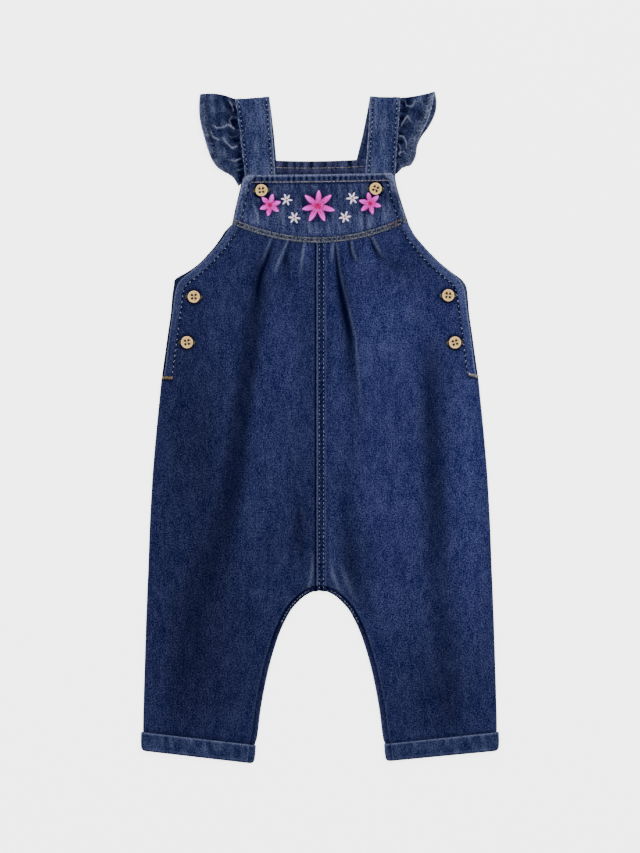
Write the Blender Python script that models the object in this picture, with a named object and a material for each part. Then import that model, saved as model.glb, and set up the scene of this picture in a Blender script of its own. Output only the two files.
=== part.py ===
"""Kids dungarees laid flat on their back, built from the pieces that a maker cuts and sews.

The garment lies on z = 0 with its hem towards -Y, its left side towards -X and its front towards
+Z. All sizes and tables below are in millimetres; they become metres when a mesh is made.
"""

import math

import bmesh
import bpy
import numpy as np
from mathutils import Vector

MM = 0.001

# Walls and clearances
CLOTH = 1.3
YOKE_CLOTH = 1.6
BAND_CLOTH = 1.2
SEAM_GAP = 0.3
FRONT_REST = CLOTH + SEAM_GAP

# How far the front stands off the back: at the yoke, over the body, at the least and at the most
YOKE_LIFT = 1.5
BODY_LIFT = 2.1
LEAST_LIFT = 0.15
MOST_LIFT = 3.8

# The yoke's lower edge: half its width, how far it drops between its ends, and how much higher it
# lies at the right than in the middle
YOKE_HALF_WIDTH = 77.4
SEAM_DROP = 17.6
YOKE_LEAN = 1.1

# Heights in the plan (y) between which one rule gives way to another
LEAN_BAND = (125.0, 175.0)
LIFT_BAND = (100.0, 165.0)
EDGE_BAND = (150.0, 200.0)
RISE_BAND = (120.0, 190.0)

# Width of the rise from the side edges over the body and at the yoke, and from the inseam; the
# share of the full lift that the yoke's side edges and the inseam keep
BODY_RISE = 20.0
YOKE_RISE = 3.0
INSEAM_RISE = 16.0
YOKE_EDGE_SHARE = 0.8
INSEAM_EDGE_SHARE = 0.03

# Grid sizes; in the turn-up every section is a row
FRONT_BODY_ROWS = 24
FRONT_LEG_ROWS = 10
FRONT_COLUMNS = 26
BACK_BODY_ROWS = 24
BACK_LEG_ROWS = 8
BACK_COLUMNS = 6
YOKE_ROWS = 8
YOKE_COLUMNS = 24
BACK_YOKE_COLUMNS = 12
STRAP_COLUMNS = 4
STRAP_FRONT_ROWS = 15
RUFFLE_COLUMNS = 6
RUFFLE_FRONT_ROWS = 27
RUFFLE_BACK_ROWS = 9
SHOULDER_STEPS = 6
CUFF_CORNER_POINTS = 4
CUFF_FRONT_STEPS = 16
CUFF_BACK_STEPS = 8

# Buttons: the profile runs from the middle of the underside, over the rim, to the dished top
BUTTON_RADIUS = 5.5
BUTTON_PROFILE = ((0.0, 0.0), (4.6, 0.0), (5.3, 0.5), (BUTTON_RADIUS, 1.2), (5.2, 2.1), (4.6, 2.4),
                  (3.9, 1.9), (3.2, 1.7), (0.0, 1.7))
BUTTON_SEGMENTS = 22
HOLE_RADIUS = 0.75
HOLE_OFFSET = 1.3
HOLE_SEGMENTS = 8
DRILL_LENGTH = 6.0
SHARP_ANGLE = math.radians(40.0)
MERGE_DISTANCE = 1e-6
BUTTON_GAP = 0.5
SEAT_SHARE = 0.8

# Half of the garment's plan, one row per section from the yoke seam to the hem: the outer and
# inner ends of each section; sag bows a section down between its ends; right_out widens the right
# side; left_back and right_back are how much further out the backs reach.
# outer_x, outer_y, inner_x, inner_y, sag, right_out, left_back, right_back
HALF_SECTIONS = np.array([
    (77.4, 179.2, 0.0, 161.6, SEAM_DROP, 0.0, 0.6, -0.4),
    (81.0, 174.2, 0.0, 155.5, 15.0, -1.2, 2.4, 0.0),
    (85.4, 167.4, 0.0, 148.0, 12.0, -1.7, 2.3, 0.2),
    (91.2, 159.8, 0.0, 139.5, 9.0, -1.2, 2.0, 0.4),
    (97.6, 152.4, 0.0, 130.0, 6.0, -0.9, 1.8, 0.6),
    (105.4, 144.4, 0.0, 120.0, 4.0, -0.5, 1.6, 0.9),
    (114.2, 136.8, 0.0, 110.0, 2.0, 0.0, 1.6, 1.3),
    (121.6, 130.8, 0.0, 101.0, 0.0, 0.0, 2.2, 2.0),
    (125.6, 124.6, 0.0, 93.0, 0.0, 0.0, 3.0, 3.0),
    (127.8, 116.0, 0.0, 85.0, 0.0, 0.0, 2.2, 2.2),
    (129.8, 100.0, 0.0, 72.0, 0.0, 0.0, 1.6, 1.6),
    (132.1, 84.0, 0.0, 57.0, 0.0, 0.0, 1.6, 1.6),
    (134.4, 66.0, 0.0, 41.0, 0.0, 0.0, 1.8, 1.8),
    (136.8, 48.0, 0.0, 24.0, 0.0, 0.0, 1.9, 1.9),
    (139.5, 39.0, 0.0, 12.0, 0.0, 0.0, 0.4, 0.4),
    (141.7, 20.0, 0.0, -6.0, 0.0, 0.0, 0.0, 0.0),
    (143.7, 0.0, 0.0, -25.0, 0.0, 0.0, 0.0, 0.0),
    (145.6, -21.0, 0.0, -43.0, 0.0, 0.0, 0.0, 0.0),
    (147.3, -42.0, 0.0, -61.0, 0.0, 0.0, 0.0, 0.0),
    (148.6, -64.0, 0.0, -79.0, 0.0, 0.0, 0.0, 0.0),
    (149.7, -85.0, 0.0, -97.0, 0.0, 0.0, 0.0, 0.0),
    (150.5, -106.0, 0.0, -113.0, 0.0, 0.0, 0.0, 0.0),
    (151.2, -126.0, 0.0, -128.0, 0.0, 0.0, 0.0, 0.0),
    (151.9, -141.0, 0.0, -143.2, 0.0, 0.0, 0.0, 0.0),
    (152.1, -146.5, 4.5, -143.9, 0.0, 0.0, 0.0, 0.0),
    (152.3, -152.0, 9.4, -145.9, 0.0, 0.0, 0.0, 0.0),
    (152.5, -158.0, 14.5, -149.0, 0.0, 0.0, 0.0, 0.0),
    (152.8, -165.0, 20.0, -154.2, 0.0, 0.0, 0.0, 0.0),
    (153.1, -173.0, 25.2, -160.2, 0.0, 0.0, 0.0, 0.0),
    (153.4, -183.0, 30.8, -170.2, 0.0, 0.0, 0.0, 0.0),
    (153.8, -195.0, 36.0, -182.0, 0.0, 0.0, 0.0, 0.0),
    (154.2, -209.0, 40.6, -196.0, 0.0, 0.0, 0.0, 0.0),
    (154.7, -224.0, 45.0, -212.0, 0.0, 0.0, 0.0, 0.0),
    (155.1, -239.0, 48.7, -229.0, 0.0, 0.0, 0.0, 0.0),
    (155.5, -253.0, 51.9, -249.0, 0.0, 0.0, 0.0, 0.0),
    (155.6, -263.0, 54.4, -271.5, 0.0, 0.0, 0.0, 0.0),
    (155.5, -266.7, 58.0, -277.6, 0.0, 0.0, 0.0, 0.0),
    (155.4, -271.0, 58.3, -282.5, 0.0, 0.0, 0.0, 0.0),
    (155.1, -281.5, 59.6, -291.0, 0.0, 0.0, 0.0, 0.0),
])
CROTCH_SECTION = 23
TURN_UP_SECTION = 34

# The front yoke from its top edge to the seam: half width at the left and at the right, height of
# its ends, and how far it drops between them.
# left_x, right_x, end_y, drop
YOKE_SECTIONS = np.array([
    (64.0, 62.8, 223.0, 0.4),
    (67.4, 65.4, 220.8, 0.4),
    (69.2, 66.6, 216.0, 0.8),
    (70.7, 68.0, 209.5, 2.0),
    (73.0, 70.8, 200.0, 6.0),
    (75.2, 73.8, 190.5, 11.0),
    (76.8, 76.4, 182.6, 15.5),
    (YOKE_HALF_WIDTH, YOKE_HALF_WIDTH, 179.5, SEAM_DROP),
])

# The back yoke, likewise
BACK_YOKE_SECTIONS = np.array([
    (66.0, 65.6, 237.4, 3.0),
    (67.6, 65.6, 222.0, 5.0),
    (72.4, 70.4, 200.0, 11.0),
    (77.4, 76.6, 179.5, SEAM_DROP),
])

# The turned-up hems, top edge to bottom edge: outer_x, outer_y, inner_x, inner_y
CUFF_SECTIONS = {
    "left": (
        (157.3, -267.5, 56.2, -279.2), (157.5, -276.0, 56.8, -287.4),
        (157.0, -284.0, 58.0, -295.4)),
    "right": (
        (157.3, -267.5, 56.2, -278.2), (157.5, -276.0, 56.8, -286.0),
        (157.0, -284.0, 58.0, -293.4)),
}
CUFF_HEIGHT = 6.0
CUFF_CLOTH = 1.2
CUFF_CORNER = 2.2

# Distances above the turn-up over which the back comes down to the floor and the folds set in
BACK_DESCENT = (1.5, 8.5)
FOLD_ONSET = (-1.0, 21.0)

# Soft folds of the front: each is a path of (x, y, lift, half-width), troughs with a negative lift
FRONT_FOLDS = {
    "left long trough": (
        (-39.5, 163.0, -0.5, 3.5), (-47.0, 150.0, -0.9, 4.5), (-52.0, 138.0, -1.5, 6.0),
        (-54.6, 116.6, -2.0, 7.0), (-59.0, 85.8, -2.1, 7.5), (-63.4, 50.6, -2.1, 8.0),
        (-67.8, 19.8, -2.1, 8.5), (-72.2, -19.8, -2.1, 9.0), (-77.0, -55.0, -1.9, 10.0),
        (-86.0, -95.0, -1.6, 12.0), (-101.0, -136.0, -1.5, 13.0), (-114.0, -172.0, -1.5, 14.0),
        (-118.4, -213.0, -1.5, 15.0), (-120.6, -262.0, -1.2, 16.0)),
    "right inner trough": (
        (14.0, 163.0, -0.3, 3.5), (16.5, 148.0, -1.0, 4.0), (20.2, 116.6, -1.8, 5.0),
        (24.6, 85.8, -1.8, 5.5), (27.2, 56.0, -1.4, 5.5), (30.5, 28.0, -0.7, 6.0),
        (30.0, -4.0, -0.3, 7.0), (22.0, -45.0, -0.5, 7.0), (23.3, -90.0, -1.1, 7.0),
        (27.0, -124.0, -1.5, 7.0), (35.0, -150.0, -1.4, 7.0), (50.0, -176.0, 0.0, 7.0)),
    "right outer trough": (
        (96.5, 84.0, 0.0, 8.0), (97.2, 56.0, -1.2, 8.5), (97.2, 20.0, -1.7, 9.0),
        (99.4, -28.6, -2.0, 9.0), (100.8, -72.6, -2.0, 9.5), (102.5, -116.6, -2.0, 10.0),
        (106.0, -160.6, -1.8, 10.0), (110.4, -204.6, -1.7, 11.0), (112.6, -258.0, -1.4, 12.0)),
    "left crotch trough": (
        (-17.0, -55.0, 0.0, 5.0), (-19.0, -78.0, -1.1, 5.5), (-19.0, -104.0, -1.2, 6.0),
        (-15.0, -124.0, 0.0, 6.0)),
    "left shallow trough": (
        (-45.0, -70.0, 0.0, 7.0), (-46.0, -100.0, -0.6, 8.0), (-44.0, -132.0, 0.0, 8.0)),
    "left gather trough": (
        (-31.0, 162.0, -0.6, 2.6), (-30.5, 146.0, -1.1, 3.6), (-29.0, 131.0, -0.6, 4.5),
        (-29.0, 118.0, 0.0, 5.0)),
    "right gather trough": (
        (27.5, 161.0, -0.6, 2.6), (30.5, 151.0, -0.9, 3.4), (34.5, 139.0, 0.0, 4.0)),
    "right outer gather trough": (
        (48.0, 165.0, -0.6, 2.8), (54.0, 151.0, -0.8, 3.6), (60.0, 141.0, 0.0, 5.0)),
    "right shoulder trough": (
        (50.0, 153.0, 0.0, 4.0), (64.0, 143.5, -0.7, 5.0), (82.0, 133.0, 0.0, 6.0)),
    "left outer gather": (
        (-42.5, 165.0, 0.8, 2.8), (-48.5, 149.0, 0.0, 3.0)),
    "left gather": (
        (-28.0, 162.0, 0.9, 2.6), (-34.5, 147.0, 1.0, 3.4), (-41.0, 130.0, 0.0, 4.5)),
    "left inner gather": (
        (-13.2, 160.5, 0.8, 2.8), (-16.5, 142.0, 0.9, 3.4), (-19.5, 122.0, 0.0, 4.5)),
    "right inner gather": (
        (11.0, 160.0, 0.8, 2.8), (10.5, 146.0, 0.5, 3.4), (10.0, 132.0, 0.0, 4.0)),
    "right gather": (
        (22.0, 160.5, 0.8, 2.6), (25.0, 148.0, 0.8, 3.4), (30.0, 130.0, 0.0, 5.0)),
    "right outer gather": (
        (39.5, 163.0, 0.8, 2.8), (43.0, 150.0, 0.7, 3.6), (47.0, 134.0, 0.0, 5.0)),
    "left body ridge": (
        (-36.0, 120.0, 0.0, 11.0), (-38.0, 80.0, 0.9, 14.0), (-44.0, 10.0, 1.1, 15.0),
        (-52.0, -60.0, 0.9, 15.0), (-66.0, -120.0, 0.4, 16.0), (-84.0, -180.0, 0.5, 16.0),
        (-86.0, -250.0, 0.0, 16.0)),
    "left hip ridge": (
        (-84.0, 110.0, 0.0, 14.0), (-92.0, 40.0, 0.8, 15.0), (-103.0, -50.0, 0.8, 15.0),
        (-120.0, -120.0, 0.3, 12.0)),
    "right body ridge": (
        (52.0, 128.0, 0.0, 13.0), (57.0, 96.0, 1.3, 16.0), (62.0, 20.0, 1.3, 18.0),
        (64.0, -60.0, 1.1, 17.0), (68.0, -130.0, 0.8, 16.0), (76.0, -200.0, 0.9, 14.0),
        (82.0, -262.0, 0.0, 14.0)),
    "right hip ridge": (
        (122.0, 40.0, 0.0, 9.0), (124.0, -20.0, 0.9, 10.0), (127.0, -110.0, 0.9, 10.0),
        (133.0, -200.0, 0.6, 9.0), (135.0, -255.0, 0.0, 9.0)),
}

# Straps from the end under the front yoke to the shoulder, then down the back to the back yoke:
# outer_x, outer_y, inner_x, inner_y, height of the cloth's middle
STRAP_FRONTS = {
    "left": (
        (-65.0, 197.5, -38.6, 198.5, 2.25), (-65.8, 210.0, -39.0, 211.0, 2.25),
        (-66.2, 221.9, -39.4, 223.4, 2.25), (-67.4, 232.0, -40.1, 234.0, 2.4),
        (-69.0, 245.0, -41.1, 247.0, 2.7), (-71.1, 262.0, -42.5, 264.0, 3.0),
        (-73.2, 277.0, -43.6, 279.0, 2.9), (-74.6, 287.3, -44.3, 289.4, 2.6)),
    "right": (
        (65.6, 199.5, 39.4, 200.5, 2.25), (66.0, 211.0, 39.7, 212.0, 2.25),
        (66.4, 223.1, 40.0, 225.0, 2.25), (67.1, 233.0, 40.7, 235.0, 2.4),
        (68.0, 246.0, 41.6, 247.5, 2.7), (69.2, 263.0, 42.7, 264.0, 3.0),
        (70.2, 278.0, 43.4, 279.0, 2.9), (70.6, 288.8, 43.6, 289.6, 2.6)),
}
STRAP_BACKS = {
    "left": (
        (-74.6, 287.3, -44.3, 289.4, 0.6), (-73.2, 275.0, -42.6, 277.0, 0.6),
        (-70.2, 258.0, -40.4, 258.0, 0.6), (-66.2, 237.0, -38.2, 235.2, 0.6)),
    "right": (
        (70.6, 288.8, 43.6, 289.6, 0.6), (68.6, 275.0, 41.2, 276.0, 0.6),
        (65.0, 257.0, 37.4, 257.0, 0.6), (60.0, 237.9, 31.9, 236.2, 0.6)),
}

# Ruffles, likewise: seam_x, seam_y, hem_x, hem_y, height at the seam, height at the hem
RUFFLE_FRONTS = {
    "left": (
        (-70.2, 213.4, -71.6, 212.0, 2.3, 2.3), (-69.2, 218.6, -77.0, 220.2, 2.3, 2.3),
        (-67.4, 223.5, -84.8, 225.0, 2.3, 2.4), (-67.6, 229.5, -90.9, 229.3, 2.4, 2.5),
        (-68.5, 237.0, -95.6, 236.3, 2.5, 2.6), (-69.5, 245.0, -98.9, 245.0, 2.6, 2.7),
        (-70.6, 254.0, -101.7, 254.5, 2.8, 2.8), (-71.7, 263.0, -104.2, 263.5, 3.0, 2.8),
        (-73.0, 272.5, -105.9, 273.0, 3.0, 2.8), (-74.2, 281.0, -106.4, 283.0, 2.8, 2.7),
        (-75.1, 287.1, -105.8, 291.3, 2.6, 2.6)),
    "right": (
        (67.0, 222.9, 68.2, 223.6, 2.3, 2.3), (67.3, 226.5, 74.2, 229.6, 2.3, 2.3),
        (67.6, 231.5, 79.8, 230.6, 2.4, 2.4), (68.0, 238.0, 83.9, 237.6, 2.5, 2.5),
        (68.5, 245.5, 85.5, 246.5, 2.7, 2.6), (69.1, 253.0, 87.4, 254.6, 2.8, 2.8),
        (69.7, 260.5, 91.0, 262.0, 3.0, 3.0), (70.2, 268.0, 95.0, 270.5, 3.0, 3.2),
        (70.6, 275.5, 97.6, 279.0, 2.9, 3.2), (71.0, 283.0, 99.5, 287.0, 2.7, 3.0),
        (71.2, 288.5, 100.8, 294.0, 2.6, 2.6)),
}
RUFFLE_BACKS = {
    "left": (
        (-75.1, 287.1, -105.8, 291.3, 0.6, 0.6), (-73.7, 275.0, -104.4, 279.0, 0.6, 0.6),
        (-71.8, 264.0, -102.4, 267.0, 0.6, 0.6), (-69.7, 252.0, -98.4, 254.0, 0.6, 0.6),
        (-67.9, 242.0, -91.0, 242.0, 0.6, 0.6), (-67.3, 238.5, -78.0, 239.0, 0.6, 0.6)),
    "right": (
        (71.2, 288.5, 101.6, 294.0, 0.6, 0.6), (70.2, 280.0, 102.7, 285.0, 0.6, 0.6),
        (68.9, 271.0, 101.0, 275.0, 0.6, 0.6), (67.1, 261.0, 95.8, 264.6, 0.6, 0.6),
        (65.2, 251.0, 89.4, 255.8, 0.6, 0.6), (62.9, 243.0, 83.0, 244.0, 0.6, 0.6),
        (61.8, 239.4, 74.0, 239.6, 0.6, 0.6)),
}

# How far the ruffles' shoulder folds bow up between seam and hem
RUFFLE_BOW = {"left": 2.7, "right": -0.8}


# Ruffle waves on the front half: place along it from the yoke (0) to the shoulder (1), height of
# the crest at the hem, half-width along it; the share of each wave left at the seam, and where
# along the ruffle the waves and the shoulder's bow give way to each other
RUFFLE_WAVES = {
    "left": ((0.16, 1.2, 0.05), (0.32, 2.2, 0.05), (0.48, 2.6, 0.05), (0.66, 2.8, 0.055),
             (0.83, 2.4, 0.05), (0.96, 1.4, 0.035)),
    "right": ((0.14, 1.0, 0.05), (0.30, 1.8, 0.05), (0.46, 2.2, 0.05), (0.62, 2.6, 0.05),
              (0.80, 2.6, 0.055), (0.95, 1.6, 0.035)),
}

WAVE_AT_SEAM = 0.25
WAVES_END = (1.0, 0.94)
BOW_BAND = (0.7, 1.0)

# Button centres: x, y
YOKE_BUTTONS = {"left": (-51.4, 208.3), "right": (48.8, 209.6)}
SIDE_BUTTONS = {
    "left_1": (-110.7, 114.8), "left_2": (-116.7, 74.8),
    "right_1": (112.5, 116.0), "right_2": (118.4, 74.6),
}

# Finishes: colour, roughness
DENIM = ((0.016, 0.029, 0.090), 0.85)
WASHED_DENIM = ((0.036, 0.055, 0.136), 0.85)
WOOD = ((0.46, 0.30, 0.16), 0.55)


def ease(value, start, end):
    """Ease from 0 to 1 as a value goes from start to end."""
    share = np.clip((value - start) / (end - start), 0.0, 1.0)
    return share * share * (3.0 - 2.0 * share)


def read_sections(sections, stations):
    """Read a table at fractional row numbers, on smooth curves through its rows."""
    sections = np.asarray(sections, float)
    before = 2.0 * sections[0] - sections[1]
    after = 2.0 * sections[-1] - sections[-2]
    padded = np.vstack([before, sections, after])
    stations = np.clip(np.asarray(stations, float), 0.0, len(sections) - 1.0)
    first = np.minimum(stations.astype(int), len(sections) - 2)
    t = (stations - first)[:, None]
    a, b, c, d = (padded[first + step] for step in range(4))
    return 0.5 * (2.0 * b + (c - a) * t + (2.0 * a - 5.0 * b + 4.0 * c - d) * t ** 2
                  + (3.0 * b - a - 3.0 * c + d) * t ** 3)


def nearest_on_path(x, y, path):
    """Distance from each point to a path, and the path's further columns at the nearest place."""
    path = np.asarray(path, float)
    distance = np.full(x.shape, np.inf)
    columns = np.zeros(x.shape + (path.shape[1] - 2,))
    for start, end in zip(path[:-1], path[1:]):
        run = end[:2] - start[:2]
        t = ((x - start[0]) * run[0] + (y - start[1]) * run[1]) / (run @ run)
        t = np.clip(t, 0.0, 1.0)
        reach = np.hypot(x - start[0] - t * run[0], y - start[1] - t * run[1])
        values = start[2:] + t[..., None] * (end[2:] - start[2:])
        columns = np.where((reach < distance)[..., None], values, columns)
        distance = np.minimum(reach, distance)
    return distance, columns


def fold_height(x, y, folds):
    """Sum of the soft ridges and troughs at each point."""
    total = np.zeros(x.shape)
    for path in folds.values():
        distance, columns = nearest_on_path(x, y, path)
        lift = columns[..., 0]
        width = columns[..., 1]
        total += lift * np.exp(-(distance / width) ** 2)
    return total


def lean(x, y):
    """The yoke sits a little higher at the right."""
    return YOKE_LEAN * x / YOKE_HALF_WIDTH * ease(y, *LEAN_BAND)


def above_cuff(x, y):
    """Height of a point above the turn-up's top edge, measured along the leg."""
    outer_x, outer_y, inner_x, inner_y = CUFF_SECTIONS["left"][0]
    share = (np.abs(x) - inner_x) / (outer_x - inner_x)
    return y - inner_y - share * (outer_y - inner_y)


def front_ramp(x, y):
    """How fully the front stands off the back: little at its edges, fully further in."""
    side = np.vstack([YOKE_SECTIONS[1:-1, (0, 2)], HALF_SECTIONS[:, :2]])
    arch = HALF_SECTIONS[CROTCH_SECTION:, 2:4]
    from_side, _ = nearest_on_path(np.abs(x), y, side)
    from_arch, _ = nearest_on_path(np.abs(x), y, arch)
    at_edge = YOKE_EDGE_SHARE * ease(y, *EDGE_BAND)
    width = BODY_RISE + (YOKE_RISE - BODY_RISE) * ease(y, *RISE_BAND)
    side_ramp = at_edge + (1.0 - at_edge) * ease(from_side, 0.0, width)
    arch_ramp = INSEAM_EDGE_SHARE + (1.0 - INSEAM_EDGE_SHARE) * ease(from_arch, 0.0, INSEAM_RISE)
    return side_ramp * arch_ramp


def back_rise(x, y):
    """The leg's back climbs over the turn-up's lower wall."""
    return (CUFF_CLOTH + SEAM_GAP) * (1.0 - ease(above_cuff(x, y), *BACK_DESCENT))


def front_lift(x, y):
    """Gap between front and back, less the seam gap, with the folds and gathers in it."""
    base = BODY_LIFT + (YOKE_LIFT - BODY_LIFT) * ease(y, *LIFT_BAND)
    lift = np.maximum(base + fold_height(x, y, FRONT_FOLDS), LEAST_LIFT)
    lift = MOST_LIFT * np.tanh(lift / MOST_LIFT)
    return lift * front_ramp(x, y) * ease(above_cuff(x, y), *FOLD_ONSET)


def front_under(x, y):
    """Underside of the fronts."""
    return FRONT_REST + back_rise(x, y) + front_lift(x, y)


def yoke_under(x, y):
    """Underside of the front yoke: level over the straps, lower at its sides."""
    return FRONT_REST + YOKE_LIFT * front_ramp(x, y)


def remove_scene_objects():
    """Start from an empty scene."""
    for item in list(bpy.data.objects):
        bpy.data.objects.remove(item, do_unlink=True)


def make_material(name, finish):
    """A Principled material with one colour and roughness."""
    color, roughness = finish
    material = bpy.data.materials.new(name)
    material.use_nodes = True
    shader = material.node_tree.nodes["Principled BSDF"]
    shader.inputs["Base Color"].default_value = (*color, 1.0)
    shader.inputs["Roughness"].default_value = roughness
    shader.inputs["Metallic"].default_value = 0.0
    return material


def link_object(name, mesh, finish):
    """Put a mesh in the scene under its node's name."""
    mesh.materials.clear()
    mesh.materials.append(make_material(name + "_finish", finish))
    item = bpy.data.objects.new(name, mesh)
    bpy.context.scene.collection.objects.link(item)
    return item


def wall_between(name, outer, inner, finish, closed=False):
    """Closed wall between two grids of points; a closed grid joins its last column to its first."""
    rows, columns = outer.shape[:2]
    points = np.concatenate([outer.reshape(-1, 3), inner.reshape(-1, 3)]) * MM
    layer = rows * columns
    steps = columns if closed else columns - 1

    def corner(row, column):
        return row * columns + column % columns

    faces = []
    for row in range(rows - 1):
        for column in range(steps):
            quad = (corner(row, column), corner(row + 1, column),
                    corner(row + 1, column + 1), corner(row, column + 1))
            faces.append(quad)
            faces.append(tuple(index + layer for index in reversed(quad)))
    for column in range(steps):
        for row in (0, rows - 1):
            start = corner(row, column)
            end = corner(row, column + 1)
            faces.append((start, end, end + layer, start + layer))
    if not closed:
        for row in range(rows - 1):
            for column in (0, columns - 1):
                start = corner(row, column)
                end = corner(row + 1, column)
                faces.append((start, end, end + layer, start + layer))

    mesh = bpy.data.meshes.new(name)
    mesh.from_pydata([tuple(point) for point in points], [], faces)
    shell = bmesh.new()
    shell.from_mesh(mesh)
    bmesh.ops.recalc_face_normals(shell, faces=shell.faces)
    shell.to_mesh(mesh)
    shell.free()
    mesh.shade_smooth()
    mesh.set_sharp_from_angle(angle=SHARP_ANGLE)
    return link_object(name, mesh, finish)


def offset_both_ways(middle, thickness):
    """Outer and inner grids of a wall round a grid of middle points, kept above the floor."""
    along = np.gradient(middle, axis=0)
    across = np.gradient(middle, axis=1)
    normal = np.cross(along, across)
    normal /= np.linalg.norm(normal, axis=2, keepdims=True)
    outer = middle + normal * thickness / 2.0
    inner = middle - normal * thickness / 2.0
    outer[..., 2] = np.maximum(outer[..., 2], 0.0)
    inner[..., 2] = np.maximum(inner[..., 2], 0.0)
    return outer, inner


def half_plan(side, body_rows, leg_rows, columns, back=False):
    """Plan points of one side's body and leg, from the outer edge to the centre or inseam."""
    body = np.linspace(0.0, CROTCH_SECTION, body_rows)
    leg = np.linspace(CROTCH_SECTION, TURN_UP_SECTION, leg_rows + 1)[1:]
    above = read_sections(HALF_SECTIONS, np.concatenate([body, leg]))
    sections = np.vstack([above, HALF_SECTIONS[TURN_UP_SECTION + 1:]])
    u = np.linspace(0.0, 1.0, columns + 1)[None, :]
    columns_read = (column[:, None] for column in sections.T)
    outer_x, outer_y, inner_x, inner_y, sag, right_out, left_back, right_back = columns_read
    if side > 0.0:
        outer_x = outer_x + right_out
    if back:
        outer_x = outer_x + (right_back if side > 0.0 else left_back)
    inner_x = np.maximum(inner_x, 0.0) + SEAM_GAP / 2.0
    x = side * (outer_x + (inner_x - outer_x) * u)
    y = outer_y + (inner_y - outer_y) * u - sag * u * (1.0 - u)
    return x, y + lean(x, y)


def make_front(name, side):
    """One front with its leg, gathered under the yoke and folded as it lies."""
    x, y = half_plan(side, FRONT_BODY_ROWS, FRONT_LEG_ROWS, FRONT_COLUMNS)
    under = front_under(x, y)
    outer = np.stack([x, y, under + CLOTH], axis=2)
    inner = np.stack([x, y, under], axis=2)
    return wall_between(name, outer, inner, DENIM)


def make_back(name, side):
    """One back with its leg, flat where it rests."""
    x, y = half_plan(side, BACK_BODY_ROWS, BACK_LEG_ROWS, BACK_COLUMNS, back=True)
    under = back_rise(x, y)
    outer = np.stack([x, y, under + CLOTH], axis=2)
    inner = np.stack([x, y, under], axis=2)
    return wall_between(name, outer, inner, DENIM)


def yoke_plan(sections, rows, columns):
    """Plan points of a yoke, its lower edge bowed down at the middle."""
    read = read_sections(sections, np.linspace(0.0, len(sections) - 1.0, rows))
    left_x, right_x, end_y, drop = (column[:, None] for column in read.T)
    s = np.linspace(-1.0, 1.0, columns + 1)[None, :]
    x = np.where(s < 0.0, left_x, right_x) * s
    y = end_y - drop * (1.0 - s * s)
    return x, y + lean(x, y)


def make_front_yoke(name):
    """The front yoke, over the ends of the straps."""
    x, y = yoke_plan(YOKE_SECTIONS, YOKE_ROWS, YOKE_COLUMNS)
    under = yoke_under(x, y)
    outer = np.stack([x, y, under + YOKE_CLOTH], axis=2)
    inner = np.stack([x, y, under], axis=2)
    return wall_between(name, outer, inner, WASHED_DENIM)


def make_back_yoke(name):
    """The back yoke, flat on what the garment lies on."""
    x, y = yoke_plan(BACK_YOKE_SECTIONS, len(BACK_YOKE_SECTIONS), BACK_YOKE_COLUMNS)
    outer = np.stack([x, y, np.full(x.shape, CLOTH)], axis=2)
    inner = np.stack([x, y, np.zeros(x.shape)], axis=2)
    return wall_between(name, outer, inner, WASHED_DENIM)


def shoulder_turn(last_front, first_back):
    """Rows that carry a band over the shoulder in a half circle, from its front to its back."""
    middle = (last_front + first_back) / 2.0
    radius = (last_front[:, 2] - first_back[:, 2]) / 2.0
    angles = np.linspace(math.pi / 2.0, -math.pi / 2.0, SHOULDER_STEPS + 1)[1:-1]
    rows = []
    for angle in angles:
        row = middle.copy()
        row[:, 1] += radius * math.cos(angle)
        row[:, 2] += radius * math.sin(angle)
        rows.append(row)
    return np.array(rows)


def band_points(edge_rows, columns):
    """Middle points of a band between its two edges: rows of x, y, x, y, z, z."""
    u = np.linspace(0.0, 1.0, columns + 1)[None, :]
    ax, ay, bx, by, az, bz = (column[:, None] for column in edge_rows.T)
    x = ax + (bx - ax) * u
    y = ay + (by - ay) * u
    z = az + (bz - az) * u
    return np.stack([x, y, z], axis=2)


def make_strap(name, key):
    """A strap over the shoulder, from behind the front yoke to the back yoke."""
    fronts = np.array(STRAP_FRONTS[key])
    backs = np.array(STRAP_BACKS[key])
    fronts = np.column_stack([fronts, fronts[:, 4]])
    backs = np.column_stack([backs, backs[:, 4]])
    stations = np.linspace(0.0, len(fronts) - 1.0, STRAP_FRONT_ROWS)
    front = band_points(read_sections(fronts, stations), STRAP_COLUMNS)
    back = band_points(backs, STRAP_COLUMNS)
    turn = shoulder_turn(front[-1], back[0])
    middle = np.concatenate([front, turn, back])
    outer, inner = offset_both_ways(middle, BAND_CLOTH)
    return wall_between(name, outer, inner, WASHED_DENIM)


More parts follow.
